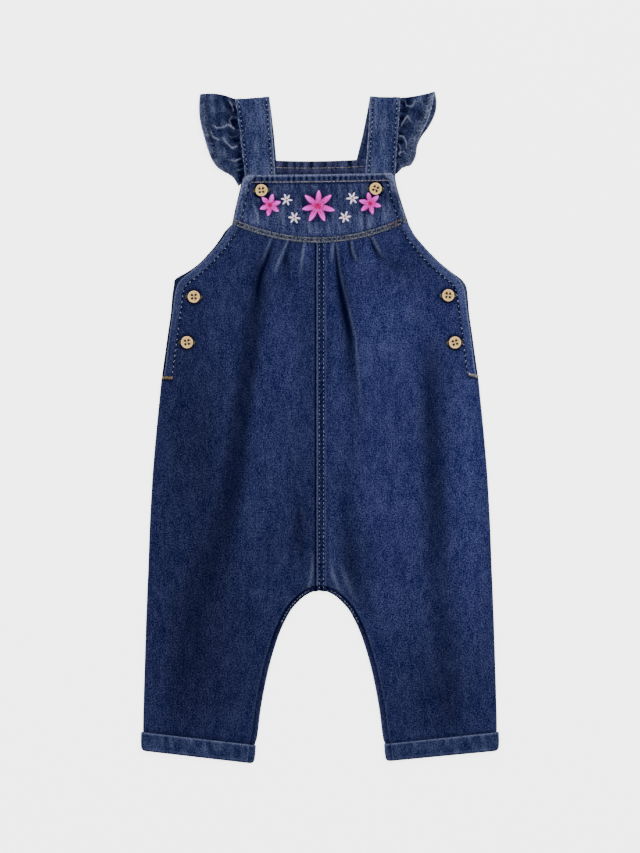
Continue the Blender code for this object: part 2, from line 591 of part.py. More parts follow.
def make_ruffle(name, key):
    """A gathered ruffle on a strap's outer edge, waved more towards its hem."""
    fronts = np.array(RUFFLE_FRONTS[key])
    backs = np.array(RUFFLE_BACKS[key])
    places = np.linspace(0.0, 1.0, RUFFLE_FRONT_ROWS)
    back_places = np.linspace(0.0, 1.0, RUFFLE_BACK_ROWS)
    front = band_points(read_sections(fronts, places * (len(fronts) - 1.0)), RUFFLE_COLUMNS)
    back = band_points(read_sections(backs, back_places * (len(backs) - 1.0)), RUFFLE_COLUMNS)
    towards_hem = np.linspace(0.0, 1.0, RUFFLE_COLUMNS + 1)[None, :]
    wave_share = WAVE_AT_SEAM + (1.0 - WAVE_AT_SEAM) * towards_hem
    for place, height, width in RUFFLE_WAVES[key]:
        wave = height * np.exp(-((places - place) / width) ** 2) * ease(places, *WAVES_END)
        front[..., 2] += wave[:, None] * wave_share
    bow = RUFFLE_BOW[key] * 4.0 * towards_hem * (1.0 - towards_hem)
    front[..., 1] += bow * ease(places, *BOW_BAND)[:, None]
    back[..., 1] += bow * ease(1.0 - back_places, *BOW_BAND)[:, None]
    turn = shoulder_turn(front[-1], back[0])
    middle = np.concatenate([front, turn, back])
    outer, inner = offset_both_ways(middle, BAND_CLOTH)
    return wall_between(name, outer, inner, WASHED_DENIM)


def corner_arc(centre_x, centre_z, radius, start, end):
    """Points of a quarter circle between two angles in degrees."""
    angles = np.radians(np.linspace(start, end, CUFF_CORNER_POINTS))
    return [(centre_x + radius * math.cos(angle), centre_z + radius * math.sin(angle))
            for angle in angles]


def rounded_ring(left, right, bottom, top, corner):
    """Points round a flat box with round corners, clockwise from the start of its top."""
    front = [(x, top) for x in np.linspace(left + corner, right - corner, CUFF_FRONT_STEPS + 1)]
    back = [(x, bottom) for x in np.linspace(right - corner, left + corner, CUFF_BACK_STEPS + 1)]
    top_right = corner_arc(right - corner, top - corner, corner, 90.0, 0.0)
    low_right = corner_arc(right - corner, bottom + corner, corner, 0.0, -90.0)
    low_left = corner_arc(left + corner, bottom + corner, corner, -90.0, -180.0)
    top_left = corner_arc(left + corner, top - corner, corner, 180.0, 90.0)
    return np.array(front + top_right[1:] + low_right + back[1:] + low_left[1:] + top_left[:-1])


def make_cuff(name, key, side):
    """A turned-up hem: a flat ring round the end of one leg."""
    grids = []
    for inset in (0.0, CUFF_CLOTH):
        rows = []
        for outer_x, outer_y, inner_x, inner_y in CUFF_SECTIONS[key]:
            ring = rounded_ring(inner_x + inset, outer_x - inset, inset, CUFF_HEIGHT - inset,
                                CUFF_CORNER - inset)
            share = (ring[:, 0] - inner_x) / (outer_x - inner_x)
            y = inner_y + share * (outer_y - inner_y)
            rows.append(np.column_stack([side * ring[:, 0], y, ring[:, 1]]))
        grids.append(np.array(rows))
    return wall_between(name, grids[0], grids[1], WASHED_DENIM, closed=True)


def button_mesh():
    """A turned wooden button with a raised rim and four holes, resting on its own z = 0."""
    disc = bmesh.new()
    edge_points = [disc.verts.new((radius * MM, 0.0, height * MM))
                   for radius, height in BUTTON_PROFILE]
    edges = [disc.edges.new(pair) for pair in zip(edge_points[:-1], edge_points[1:])]
    bmesh.ops.spin(disc, geom=edge_points + edges, cent=(0.0, 0.0, 0.0), axis=(0.0, 0.0, 1.0),
                   angle=math.tau, steps=BUTTON_SEGMENTS, use_merge=True)
    bmesh.ops.remove_doubles(disc, verts=disc.verts, dist=MERGE_DISTANCE)
    bmesh.ops.recalc_face_normals(disc, faces=disc.faces)
    blank_mesh = bpy.data.meshes.new("button_blank")
    disc.to_mesh(blank_mesh)
    disc.free()
    blank = bpy.data.objects.new("button_blank", blank_mesh)
    bpy.context.scene.collection.objects.link(blank)

    drills = bmesh.new()
    for x in (-HOLE_OFFSET, HOLE_OFFSET):
        for y in (-HOLE_OFFSET, HOLE_OFFSET):
            drill = bmesh.ops.create_cone(drills, cap_ends=True, segments=HOLE_SEGMENTS,
                                          radius1=HOLE_RADIUS * MM, radius2=HOLE_RADIUS * MM,
                                          depth=DRILL_LENGTH * MM)
            bmesh.ops.translate(drills, verts=drill["verts"], vec=(x * MM, y * MM, 0.0))
    drill_mesh = bpy.data.meshes.new("button_drills")
    drills.to_mesh(drill_mesh)
    drills.free()
    cutter = bpy.data.objects.new("button_drills", drill_mesh)
    cutter.hide_render = True
    cutter.display_type = "WIRE"
    bpy.context.scene.collection.objects.link(cutter)

    cut = blank.modifiers.new("holes", "BOOLEAN")
    cut.operation = "DIFFERENCE"
    cut.object = cutter
    bpy.context.view_layer.update()
    evaluated = blank.evaluated_get(bpy.context.evaluated_depsgraph_get())
    mesh = bpy.data.meshes.new_from_object(evaluated)
    mesh.name = "button"
    bpy.data.objects.remove(blank, do_unlink=True)
    bpy.data.objects.remove(cutter, do_unlink=True)
    mesh.shade_smooth()
    mesh.set_sharp_from_angle(angle=SHARP_ANGLE)
    return mesh


def make_button(name, mesh, place, under, cloth):
    """A button seated on its cloth, tilted as the cloth lies."""
    x, y = place
    reach = BUTTON_RADIUS * SEAT_SHARE
    offsets = np.array([(0.0, 0.0), (reach, 0.0), (-reach, 0.0), (0.0, reach), (0.0, -reach)])
    heights = under(x + offsets[:, 0], y + offsets[:, 1]) + cloth
    slope_x = (heights[1] - heights[2]) / (2.0 * reach)
    slope_y = (heights[3] - heights[4]) / (2.0 * reach)
    flat_heights = heights - slope_x * offsets[:, 0] - slope_y * offsets[:, 1]
    seat = flat_heights.max() + BUTTON_GAP
    normal = Vector((-slope_x, -slope_y, 1.0))
    item = link_object(name, mesh.copy(), WOOD)
    item.rotation_mode = "QUATERNION"
    item.rotation_quaternion = Vector((0.0, 0.0, 1.0)).rotation_difference(normal)
    item.location = (x * MM, y * MM, seat * MM)
    return item


def build():
    """Make every piece of the garment."""
    remove_scene_objects()
    for key, side in (("left", -1.0), ("right", 1.0)):
        make_back("back_" + key, side)
        make_front("front_" + key, side)
        make_cuff("cuff_" + key, key, side)
        make_strap("strap_" + key, key)
        make_ruffle("ruffle_" + key, key)
    make_back_yoke("back_yoke")
    make_front_yoke("front_yoke")
    mesh = button_mesh()
    for key, place in YOKE_BUTTONS.items():
        make_button("button_yoke_" + key, mesh, place, yoke_under, YOKE_CLOTH)
    for key, place in SIDE_BUTTONS.items():
        make_button("button_side_" + key, mesh, place, front_under, CLOTH)
    bpy.data.meshes.remove(mesh)


build()
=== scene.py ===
"""Kids' dungarees in denim, laid flat: the looks of every cut-and-sewn piece."""

from math import cos, hypot, pi, radians, sin, sqrt

import bpy
import numpy as np
from mathutils import Matrix, Vector


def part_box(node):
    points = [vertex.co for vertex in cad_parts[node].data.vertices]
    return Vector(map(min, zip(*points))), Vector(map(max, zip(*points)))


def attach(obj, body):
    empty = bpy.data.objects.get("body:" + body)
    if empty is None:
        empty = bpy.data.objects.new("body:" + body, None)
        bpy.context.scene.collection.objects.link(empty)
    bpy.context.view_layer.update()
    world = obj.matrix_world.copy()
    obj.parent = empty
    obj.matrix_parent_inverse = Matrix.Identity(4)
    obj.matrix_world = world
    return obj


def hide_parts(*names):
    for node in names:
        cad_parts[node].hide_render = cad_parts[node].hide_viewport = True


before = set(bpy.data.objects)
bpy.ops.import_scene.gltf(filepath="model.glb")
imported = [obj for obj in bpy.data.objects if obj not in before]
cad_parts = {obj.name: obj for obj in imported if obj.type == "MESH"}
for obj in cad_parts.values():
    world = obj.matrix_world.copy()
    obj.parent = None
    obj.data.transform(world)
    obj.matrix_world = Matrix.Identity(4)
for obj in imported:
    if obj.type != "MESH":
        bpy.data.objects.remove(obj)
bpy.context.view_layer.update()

# Lengths in the tables are millimetres
MM = 0.001
TURN = 2 * pi

# Halves of the garment as seen from the front, with the sign of x; seeds of what is uneven in each
SIDES = {"left": -1, "right": 1}
FRONT_SEEDS = {"left": 7, "right": 11}
STRAP_SEEDS = {"left": 51, "right": 53}
RUFFLE_SEEDS = {"left": 61, "right": 64}
CUFF_SEEDS = {"left": 71, "right": 72}

# Walls of the cloth as solids, and the thinner cloth that is seen
CLOTH = 1.3
YOKE_CLOTH = 1.6
BAND_CLOTH = 1.2
SEAM_GAP = 0.3
FRONT_REST = CLOTH + SEAM_GAP
THIN_CLOTH = 1
ROLL = 0.55
ROLL_STEPS = np.array([0, 0.06, 0.2, 0.4, 0.7])
CLOTH_CREASE_ANGLE = 55

# Rough width of the panels, for the spacing of points across them
PANEL_WIDTH = 155

# How far the front stands off the back: at the yoke, over the body, at the least and at the most
YOKE_LIFT = 1.5
BODY_LIFT = 2.1
LEAST_LIFT = 0.15
MOST_LIFT = 3.8

# The yoke's lower edge: half its width, how far it drops between its ends, and how much higher it
# lies at the right than in the middle
YOKE_HALF_WIDTH = 77.4
SEAM_DROP = 17.6
YOKE_LEAN = 1.1

# Heights in the plan (y) between which one rule gives way to another
LEAN_BAND = (125, 175)
LIFT_BAND = (100, 165)
EDGE_BAND = (150, 200)
RISE_BAND = (120, 190)
CROTCH_BAND = (-150, -138)

# Width of the rise from the side edges over the body and at the yoke, and from the inseam; the
# share of the full lift that the yoke's side edges and the inseam keep
BODY_RISE = 20
YOKE_RISE = 3
INSEAM_RISE = 16
YOKE_EDGE_SHARE = 0.8
INSEAM_EDGE_SHARE = 0.03

# Half of the garment's plan, one row per section from the yoke seam to the hem: the outer and
# inner ends of each section; sag bows a section down between its ends; right_out widens the right
# side; left_back and right_back are how much further out the backs reach.
# outer_x, outer_y, inner_x, inner_y, sag, right_out, left_back, right_back
UPPER_SECTIONS = (
    (77.4, 179.2, 0, 161.6, SEAM_DROP, 0, 0.6, -0.4), (81, 174.2, 0, 155.5, 15, -1.2, 2.4, 0),
    (85.4, 167.4, 0, 148, 12, -1.7, 2.3, 0.2), (91.2, 159.8, 0, 139.5, 9, -1.2, 2, 0.4),
    (97.6, 152.4, 0, 130, 6, -0.9, 1.8, 0.6), (105.4, 144.4, 0, 120, 4, -0.5, 1.6, 0.9),
    (114.2, 136.8, 0, 110, 2, 0, 3, 1.3), (121.6, 130.8, 0, 101, 0, 0, 5.7, 2.4),
    (125.6, 124.6, 0, 93, 0, 0, 3, 3), (127.8, 116, 0, 85, 0, 0, 2.2, 2.2),
    (129.8, 100, 0, 72, 0, 0, 1.6, 1.6), (132.1, 84, 0, 57, 0, 0, 1.6, 1.6),
    (134.4, 66, 0, 41, 0, 0, 1.8, 1.8), (136.8, 48, 0, 24, 0, 0, 1.9, 1.9),
    (139.5, 39, 0, 12, 0, 0, 0.4, 0.4))
LOWER_SECTIONS = (
    (141.7, 20, 0, -6), (143.7, 0, 0, -25), (145.6, -21, 0, -43), (147.3, -42, 0, -61),
    (148.6, -64, 0, -79), (149.7, -85, 0, -97), (150.5, -106, 0, -113), (151.2, -126, 0, -128),
    (151.9, -141, 0, -143.2), (152.1, -146.5, 4.5, -143.9), (152.3, -152, 9.4, -145.9),
    (152.5, -158, 14.5, -149), (152.8, -165, 20, -154.2), (153.1, -173, 25.2, -160.2),
    (153.4, -183, 30.8, -170.2), (153.8, -195, 36, -182), (154.2, -209, 40.6, -196),
    (154.7, -224, 45, -212), (155.1, -239, 48.7, -229), (155.5, -253, 52.2, -249),
    (155.6, -263, 55, -271.5), (155.5, -266.7, 56.8, -277.6), (155.4, -271, 58.3, -282.5),
    (155.1, -281.5, 59.6, -291))
HALF_SECTIONS = np.vstack([UPPER_SECTIONS, np.pad(LOWER_SECTIONS, ((0, 0), (0, 4)))])
CROTCH_SECTION = 23

# The front yoke from its top edge to the seam: half width at the left and at the right, height of
# its ends, and how far it drops between them.
# left_x, right_x, end_y, drop
YOKE_SECTIONS = np.array([
    (64, 62.8, 223, 0.4), (67.4, 65.4, 220.8, 0.4), (69.2, 66.6, 216, 0.8), (70.7, 68, 209.5, 2),
    (73, 70.8, 200, 6), (75.2, 73.8, 190.5, 11), (76.8, 76.4, 182.6, 15.5),
    (YOKE_HALF_WIDTH, YOKE_HALF_WIDTH, 179.5, SEAM_DROP)])

# The back yoke, likewise
BACK_YOKE_SECTIONS = np.array([
    (66, 65.6, 237.4, 3), (67.6, 65.6, 222, 5), (72.4, 70.4, 200, 11),
    (77.4, 76.6, 179.5, SEAM_DROP)])

# The turned-up hems, top edge to bottom edge: outer_x, outer_y, inner_x, inner_y
CUFF_SECTIONS = {
    "left": ((157.3, -267.5, 56.2, -279.2), (157.5, -276, 56.8, -287.4), (157, -284, 58, -295.4)),
    "right": ((157.3, -267.5, 56.2, -278.2), (157.5, -276, 56.8, -286), (157, -284, 58, -293.4)),
}
CUFF_HEIGHT = 6
CUFF_CLOTH = 1.2
CUFF_CORNER = 2.2

# Distances above the turn-up over which the back comes down to the floor and the folds set in
BACK_DESCENT = (1.5, 8.5)
FOLD_ONSET = (-1, 21)

# Soft folds of the front: each is a path of (x, y, lift, half-width), troughs with a negative lift
FRONT_FOLDS = {
    "left long trough": (
        (-39.5, 163, -0.5, 3.5), (-47, 150, -0.9, 4.5), (-52, 138, -1.5, 6), (-54.6, 116.6, -2, 7),
        (-59, 85.8, -2.1, 7.5), (-63.4, 50.6, -2.1, 8), (-67.8, 19.8, -2.1, 8.5),
        (-72.2, -19.8, -2.1, 9), (-77, -55, -1.9, 10), (-86, -95, -1.6, 12), (-101, -136, -1.5, 13),
        (-114, -172, -1.5, 14), (-118.4, -213, -1.5, 15), (-120.6, -262, -1.2, 16)),
    "right inner trough": (
        (14, 163, -0.3, 3.5), (16.5, 148, -1, 4), (20.2, 116.6, -1.8, 5), (24.6, 85.8, -1.8, 5.5),
        (27.2, 56, -1.4, 5.5), (30.5, 28, -0.7, 6), (30, -4, -0.3, 7), (22, -45, -0.5, 7),
        (23.3, -90, -1.1, 7), (27, -124, -1.5, 7), (35, -150, -1.4, 7), (50, -176, 0, 7)),
    "right outer trough": (
        (96.5, 84, 0, 8), (97.2, 56, -1.2, 8.5), (97.2, 20, -1.7, 9), (99.4, -28.6, -2, 9),
        (100.8, -72.6, -2, 9.5), (102.5, -116.6, -2, 10), (106, -160.6, -1.8, 10),
        (110.4, -204.6, -1.7, 11), (112.6, -258, -1.4, 12)),
    "left crotch trough": (
        (-17, -55, 0, 5), (-19, -78, -1.1, 5.5), (-19, -104, -1.2, 6), (-15, -124, 0, 6)),
    "left shallow trough": ((-45, -70, 0, 7), (-46, -100, -0.6, 8), (-44, -132, 0, 8)),
    "left gather trough": (
        (-31, 162, -0.6, 2.6), (-30.5, 146, -1.1, 3.6), (-29, 131, -0.6, 4.5), (-29, 118, 0, 5)),
    "right gather trough": ((27.5, 161, -0.6, 2.6), (30.5, 151, -0.9, 3.4), (34.5, 139, 0, 4)),
    "right outer gather trough": ((48, 165, -0.6, 2.8), (54, 151, -0.8, 3.6), (60, 141, 0, 5)),
    "right shoulder trough": ((50, 153, 0, 4), (64, 143.5, -0.7, 5), (82, 133, 0, 6)),
    "left outer gather": ((-42.5, 165, 0.8, 2.8), (-48.5, 149, 0, 3)),
    "left gather": ((-28, 162, 0.9, 2.6), (-34.5, 147, 1, 3.4), (-41, 130, 0, 4.5)),
    "left inner gather": ((-13.2, 160.5, 0.8, 2.8), (-16.5, 142, 0.9, 3.4), (-19.5, 122, 0, 4.5)),
    "right inner gather": ((11, 160, 0.8, 2.8), (10.5, 146, 0.5, 3.4), (10, 132, 0, 4)),
    "right gather": ((22, 160.5, 0.8, 2.6), (25, 148, 0.8, 3.4), (30, 130, 0, 5)),
    "right outer gather": ((39.5, 163, 0.8, 2.8), (43, 150, 0.7, 3.6), (47, 134, 0, 5)),
    "left body ridge": (
        (-36, 120, 0, 11), (-38, 80, 0.9, 14), (-44, 10, 1.1, 15), (-52, -60, 0.9, 15),
        (-66, -120, 0.4, 16), (-84, -180, 0.5, 16), (-86, -250, 0, 16)),
    "left hip ridge": (
        (-84, 110, 0, 14), (-92, 40, 0.8, 15), (-103, -50, 0.8, 15), (-120, -120, 0.3, 12)),
    "right body ridge": (
        (52, 128, 0, 13), (57, 96, 1.3, 16), (62, 20, 1.3, 18), (64, -60, 1.1, 17),
        (68, -130, 0.8, 16), (76, -200, 0.9, 14), (82, -262, 0, 14)),
    "right hip ridge": (
        (122, 40, 0, 9), (124, -20, 0.9, 10), (127, -110, 0.9, 10), (133, -200, 0.6, 9),
        (135, -255, 0, 9)),
}

# Straps from the end under the front yoke to the shoulder, then down the back to the back yoke:
# outer_x, outer_y, inner_x, inner_y, height of the cloth's middle (one height on the back)
BACK_BAND_HEIGHT = 0.6
STRAP_FRONTS = {
    "left": (
        (-65, 197.5, -38.6, 198.5, 2.25), (-65.8, 210, -39, 211, 2.25),
        (-66.2, 221.9, -39.4, 223.4, 2.25), (-67.4, 232, -40.1, 234, 2.4),
        (-69, 245, -41.1, 247, 2.7), (-71.1, 262, -42.5, 264, 3), (-73.2, 277, -43.6, 279, 2.9),
        (-74.6, 287.3, -44.3, 289.4, 2.6)),
    "right": (
        (65.6, 199.5, 39.4, 200.5, 2.25), (66, 211, 39.7, 212, 2.25), (66.4, 223.1, 40, 225, 2.25),
        (67.1, 233, 40.7, 235, 2.4), (68, 246, 41.6, 247.5, 2.7), (69.2, 263, 42.7, 264, 3),
        (70.2, 278, 43.4, 279, 2.9), (70.6, 288.8, 43.6, 289.6, 2.6)),
}
STRAP_BACKS = {
    "left": (
        (-74.6, 287.3, -44.3, 289.4), (-73.2, 275, -42.6, 277), (-70.2, 258, -40.4, 258),
        (-66.2, 237, -38.2, 235.2)),
    "right": (
        (70.6, 288.8, 43.6, 289.6), (68.6, 275, 41.2, 276), (65, 257, 37.4, 257),
        (60, 237.9, 31.9, 236.2)),
}

# Ruffles, likewise: seam_x, seam_y, hem_x, hem_y, height at the seam, height at the hem
RUFFLE_FRONTS = {
    "left": (
        (-70.2, 213.4, -71.6, 212, 2.3, 2.3), (-69.2, 218.6, -77, 220.2, 2.3, 2.3),
        (-67.4, 223.5, -84.8, 225, 2.3, 2.4), (-67.6, 229.5, -90.9, 229.3, 2.4, 2.5),
        (-68.5, 237, -95.6, 236.3, 2.5, 2.6), (-69.5, 245, -98.9, 245, 2.6, 2.7),
        (-70.6, 254, -101.7, 254.5, 2.8, 2.8), (-71.7, 263, -104.2, 263.5, 3, 2.8),
        (-73, 272.5, -105.9, 273, 3, 2.8), (-74.2, 281, -106.4, 283, 2.8, 2.7),
        (-75.1, 287.1, -105.8, 291.3, 2.6, 2.6)),
    "right": (
        (67, 222.9, 68.2, 223.6, 2.3, 2.3), (67.3, 226.5, 74.2, 229.6, 2.3, 2.3),
        (67.6, 231.5, 79.8, 230.6, 2.4, 2.4), (68, 238, 83.9, 237.6, 2.5, 2.5),
        (68.5, 245.5, 85.5, 246.5, 2.7, 2.6), (69.1, 253, 87.4, 254.6, 2.8, 2.8),
        (69.7, 260.5, 91, 262, 3, 3), (70.2, 268, 95, 270.5, 3, 3.2),
        (70.6, 275.5, 97.6, 279, 2.9, 3.2), (71, 283, 99.5, 287, 2.7, 3),
        (71.2, 288.5, 100.8, 294, 2.6, 2.6)),
}
RUFFLE_BACKS = {
    "left": (
        (-75.1, 287.1, -105.8, 291.3), (-73.7, 275, -104.4, 279), (-71.8, 264, -102.4, 267),
        (-69.7, 252, -98.4, 254), (-67.9, 242, -91, 242), (-67.3, 238.5, -78, 239)),
    "right": (
        (71.2, 288.5, 101.6, 294), (70.2, 280, 102.7, 285), (68.9, 271, 101, 275),
        (67.1, 261, 95.8, 264.6), (65.2, 251, 89.4, 255.8), (62.9, 243, 83, 244),
        (61.8, 239.4, 74, 239.6)),
}

# How far the ruffles' shoulder folds bow up between seam and hem
RUFFLE_BOW = {"left": 2.7, "right": -0.8}

# Rows of points round each band's shoulder turn
SHOULDER_STEPS = 12

# Ruffle waves on the front half: place along it from the yoke (0) to the shoulder (1), height of
# the crest at the hem, half-width along it; how worn each is inside its hem; the share of each
# wave left at the seam, and where along the ruffle the waves and the shoulder's bow give way to
# each other
RUFFLE_WAVES = {
    "left": (
        (0.16, 1.2, 0.05), (0.32, 2.2, 0.05), (0.48, 2.6, 0.05), (0.66, 2.8, 0.055),
        (0.83, 2.4, 0.05), (0.96, 1.4, 0.035)),
    "right": (
        (0.14, 1, 0.05), (0.3, 1.8, 0.05), (0.46, 2.2, 0.05), (0.62, 2.6, 0.05), (0.8, 2.6, 0.055),
        (0.95, 1.6, 0.035)),
}
RUFFLE_HEM_WEAR = {"left": 0.08, "right": 0.22}
WAVE_AT_SEAM = 0.25
WAVES_END = (1, 0.94)
BOW_BAND = (0.7, 1)

# Button centres: x, y
YOKE_BUTTONS = {"left": (-51.4, 208.3), "right": (48.8, 209.6)}
SIDE_BUTTONS = {
    "left_1": (-110.7, 114.8), "left_2": (-116.7, 74.8),
    "right_1": (112.5, 116), "right_2": (118.4, 74.6),
}

# Creases too fine for the solids: paths of (x, y, lift, half-width)
FINE_CREASES = {
    "left outer pleat": ((-43, 165.4, 0.5, 1.1), (-48.6, 151, 0.4, 1.5), (-53, 140, 0, 2)),
    "left outer tuck": (
        (-40.7, 165, -0.5, 1), (-47.3, 145.6, -0.9, 1.3), (-51.7, 135.7, -0.9, 1.6),
        (-54.6, 122.8, -0.7, 2), (-55.6, 104, 0, 3)),
    "left pleat": ((-28.6, 163.6, 0.8, 1), (-35.2, 147.9, 0.9, 1.2), (-41.4, 133.6, 0, 1.7)),
    "left pleat shade": ((-26, 163, -0.5, 1.6), (-31, 147, -0.6, 2.4), (-35, 134, 0, 3)),
    "left inner pleat": ((-13.7, 161.4, 0.7, 1), (-15.4, 151.2, 0.7, 1.1), (-18.1, 130.2, 0, 1.6)),
    "left inner shade": ((-17, 161.6, -0.5, 1.2), (-18.6, 151, -0.3, 1.5), (-21, 138, 0, 2)),
    "left small tuck": ((-21.6, 162, -0.5, 0.9), (-22.6, 155, 0, 1.2)),
    "right inner pleat": ((11.9, 162.7, 0.7, 0.9), (10.5, 152.2, 0.5, 1.1), (10, 144, 0, 1.5)),
    "right inner tuck": (
        (13.2, 160.6, -0.8, 0.8), (14.8, 141, -0.9, 1.4), (17.4, 124, -0.9, 2.1),
        (21.4, 104, -0.9, 2.6), (26.6, 80, -0.6, 3), (30, 52, 0, 3.5)),
    "right trough edge": (
        (14.6, 162, 0.5, 0.8), (17.1, 139, 0.55, 0.8), (20.5, 123.6, 0.6, 0.9),
        (25.4, 104, 0.6, 0.9), (30.9, 80, 0.5, 1), (34.4, 40, 0.25, 1.2), (36, 5, 0, 1.6)),
    "right pleat": ((27.6, 163.4, 1, 0.9), (29, 153.6, 1, 1.2), (33, 145.6, 0, 1.7)),
    "right pleat shade": ((25.2, 162.8, -0.9, 1.1), (27, 152, -1, 1.5), (29.6, 141, 0, 2)),
    "right outer pleat": ((46.4, 166.4, 0.9, 1), (50, 158.8, 0.9, 1.2), (56, 148.4, 0, 1.8)),
    "right outer shade": ((44, 166, -0.7, 1.1), (48, 156, -1, 1.7), (53, 146, 0, 2.2)),
    "right small tuck": ((37, 165, -0.5, 0.9), (39, 157, 0, 1.3)),
    "left crotch crease": ((-6.2, -108, 0, 1.6), (-7, -126, 0.6, 1.5), (-9.5, -141, 0.5, 1.4)),
    "right crotch crease": ((8.5, -114, 0, 1.8), (11.5, -130, 0.6, 1.6), (17.5, -144, 0.4, 1.5)),
    "right crotch pull": ((17, -118, 0, 2.2), (23, -134, 0.5, 2), (31, -151, 0.2, 2)),
}

# Broad soft patches where the fronts' colour is made paler (darker if negative): x, y, how much
# paler, reach in x and y; how light each front's colour is made; painted shade in the folds' troughs
# and painted light on their crests, per millimetre and at most, and the shares of that shade which
# come as a blend to the shade colour and as a dimmed colour
COLOUR_PATCHES = (
    (-10.6, 153, 0.25, 9, 8), (-100, -150, -0.32, 40, 70), (-98, -225, -0.28, 50, 60),
    (-108, -20, -0.4, 30, 95), (-96, 138, 0.12, 22, 20), (-32, 80, 0.14, 16, 60),
    (-14, -90, -0.16, 14, 50), (60, 90, 0.14, 40, 50), (82, 148, -0.16, 26, 24),
    (134, 0, 0.28, 13, 150), (30, -120, -0.28, 16, 34), (98, -235, -0.34, 60, 70))
FRONT_TONE = {"left": 0.97, "right": 1.19}
FOLD_TONE = 0.37
FOLD_TONE_LIMITS = (-0.60, 0.10)
LEG_FOLD_SHARE = 0.5
FOLD_SHADE = 0.6
FOLD_SHADE_DIMMING = 0.5

# Creases of the front yoke's face, likewise
YOKE_CREASES = {
    "left": (
        (-60.5, 198.9, 0, 1.2), (-57.2, 192.9, 0.6, 0.9), (-55.1, 187.8, 0.8, 0.9),
        (-53.9, 180, 0.6, 0.9)),
    "left upper": ((-40.2, 210, 0.3, 1.2), (-37.8, 203.6, 0.5, 1.2)),
    "left middle": ((-32.9, 194.3, 0.2, 1.5), (-33.1, 187.8, 0.5, 1.3), (-31.9, 178, 0.4, 1.4)),
    "left middle tuck": ((-35.2, 185, -0.5, 1), (-34.6, 173.5, -0.9, 1)),
    "centre": ((-10.8, 187, 0.3, 1.1), (-9.2, 172, 0.6, 1.1)),
    "centre tuck": ((-13.6, 184, -0.3, 1.3), (-12.6, 170.5, -0.7, 1.3)),
    "right inner": ((35.4, 186, 0.2, 1), (36.6, 174.5, 0.45, 1.1)),
    "right tuck": ((39.6, 187, -0.3, 1.2), (40, 174.5, -0.8, 1.2)),
    "right": ((42.6, 187, 0.3, 1.1), (43.4, 175.5, 0.6, 1.1)),
    "right outer": ((55, 200, 0, 1.4), (57.5, 186, 0.4, 1.2)),
}

# A faint darker band across the yoke: its middle height and half-width, and the places in x
# between which it sets in
YOKE_BAND = (203, 13)
YOKE_BAND_START = (-66, -52)

# Dark ring of shade round each button: its radius and width
BUTTON_RING = (6.1, 1.5)

# Small ridges pulled in the ruffles by their gathering: likewise
RUFFLE_CREASES = {
    "left": {
        "upper": (
            (-95.3, 266.2, 0.3, 0.9), (-90.9, 262.8, 1, 0.9), (-85.5, 263.3, 1, 0.9),
            (-80.7, 266.2, 1.1, 0.9), (-77.7, 263.7, 1, 0.9), (-75.3, 262.3, 0.8, 0.9)),
        "upper branch": (
            (-77.7, 273.1, 0.4, 0.8), (-79.7, 270.1, 0.9, 0.8), (-77.9, 265, 0.8, 0.8)),
        "lower outer": ((-99, 267, 0.2, 1.2), (-93.9, 255.5, 0.9, 1), (-89, 253, 0.9, 0.9)),
        "lower": (
            (-85.5, 254.5, 0.6, 0.9), (-81.7, 249.6, 1, 0.9), (-77.3, 245.2, 1.1, 1),
            (-72.9, 247.1, 0.9, 0.9)),
        "top": ((-81, 288.7, 0.4, 1), (-77.7, 283.8, 0.9, 0.9), (-76.3, 277.9, 0.9, 0.8)),
        "middle": ((-82, 258, 0.3, 0.9), (-78, 255, 0.6, 0.8), (-73.6, 256, 0.5, 0.8)),
        "foot": ((-84, 236, 0.2, 1.2), (-75, 233.9, 0.9, 0.9), (-70.4, 236, 0.9, 0.9)),
        "foot fold": ((-84.6, 246, 0.4, 1), (-83.6, 238, 0.3, 1)),
        "toe": ((-78, 224, 0.2, 1.2), (-71, 226.5, 0.7, 0.9)),
    },
    "right": {
        "fork": (
            (73.8, 289, 0.6, 0.9), (76.3, 282.8, 1, 0.9), (80.7, 281.8, 0.9, 0.9),
            (83.4, 286.5, 0.6, 0.9)),
        "outer": ((87.5, 289.7, 0.6, 1), (90.5, 283.8, 0.5, 1)),
        "upper": (
            (71.4, 264.6, 0.7, 0.9), (73.8, 270, 1, 0.9), (76.8, 273.8, 1, 0.9),
            (80.5, 268, 0.5, 1)),
        "middle": (
            (69.9, 256.4, 0.7, 0.9), (73.3, 255.5, 1, 0.9), (76.3, 249.5, 1, 0.9),
            (75.8, 245.7, 0.5, 0.9)),
        "lower": ((69.4, 249.5, 0.6, 0.8), (70.9, 244.7, 0.8, 0.8), (69.9, 238.8, 0.5, 0.8)),
        "foot": ((69.4, 240.8, 0.7, 0.8), (73.3, 242.7, 0.9, 0.8), (75, 240.6, 0.5, 0.9)),
        "toe": ((77, 232, 0.2, 1.2), (71, 230, 0.7, 1)),
    },
}

# Stretches of the rows of stitches: from y to y, or from x to x on the yokes' long edges
SPANS = {
    "armhole": (47.5, 170.5), "inseam": (-274, -146), "arch": (-172, -143.4),
    "centre": (160, -140.5), "yoke side": (184.5, 217), "yoke hem": (-60, 59), "neck": (-38, 37),
}

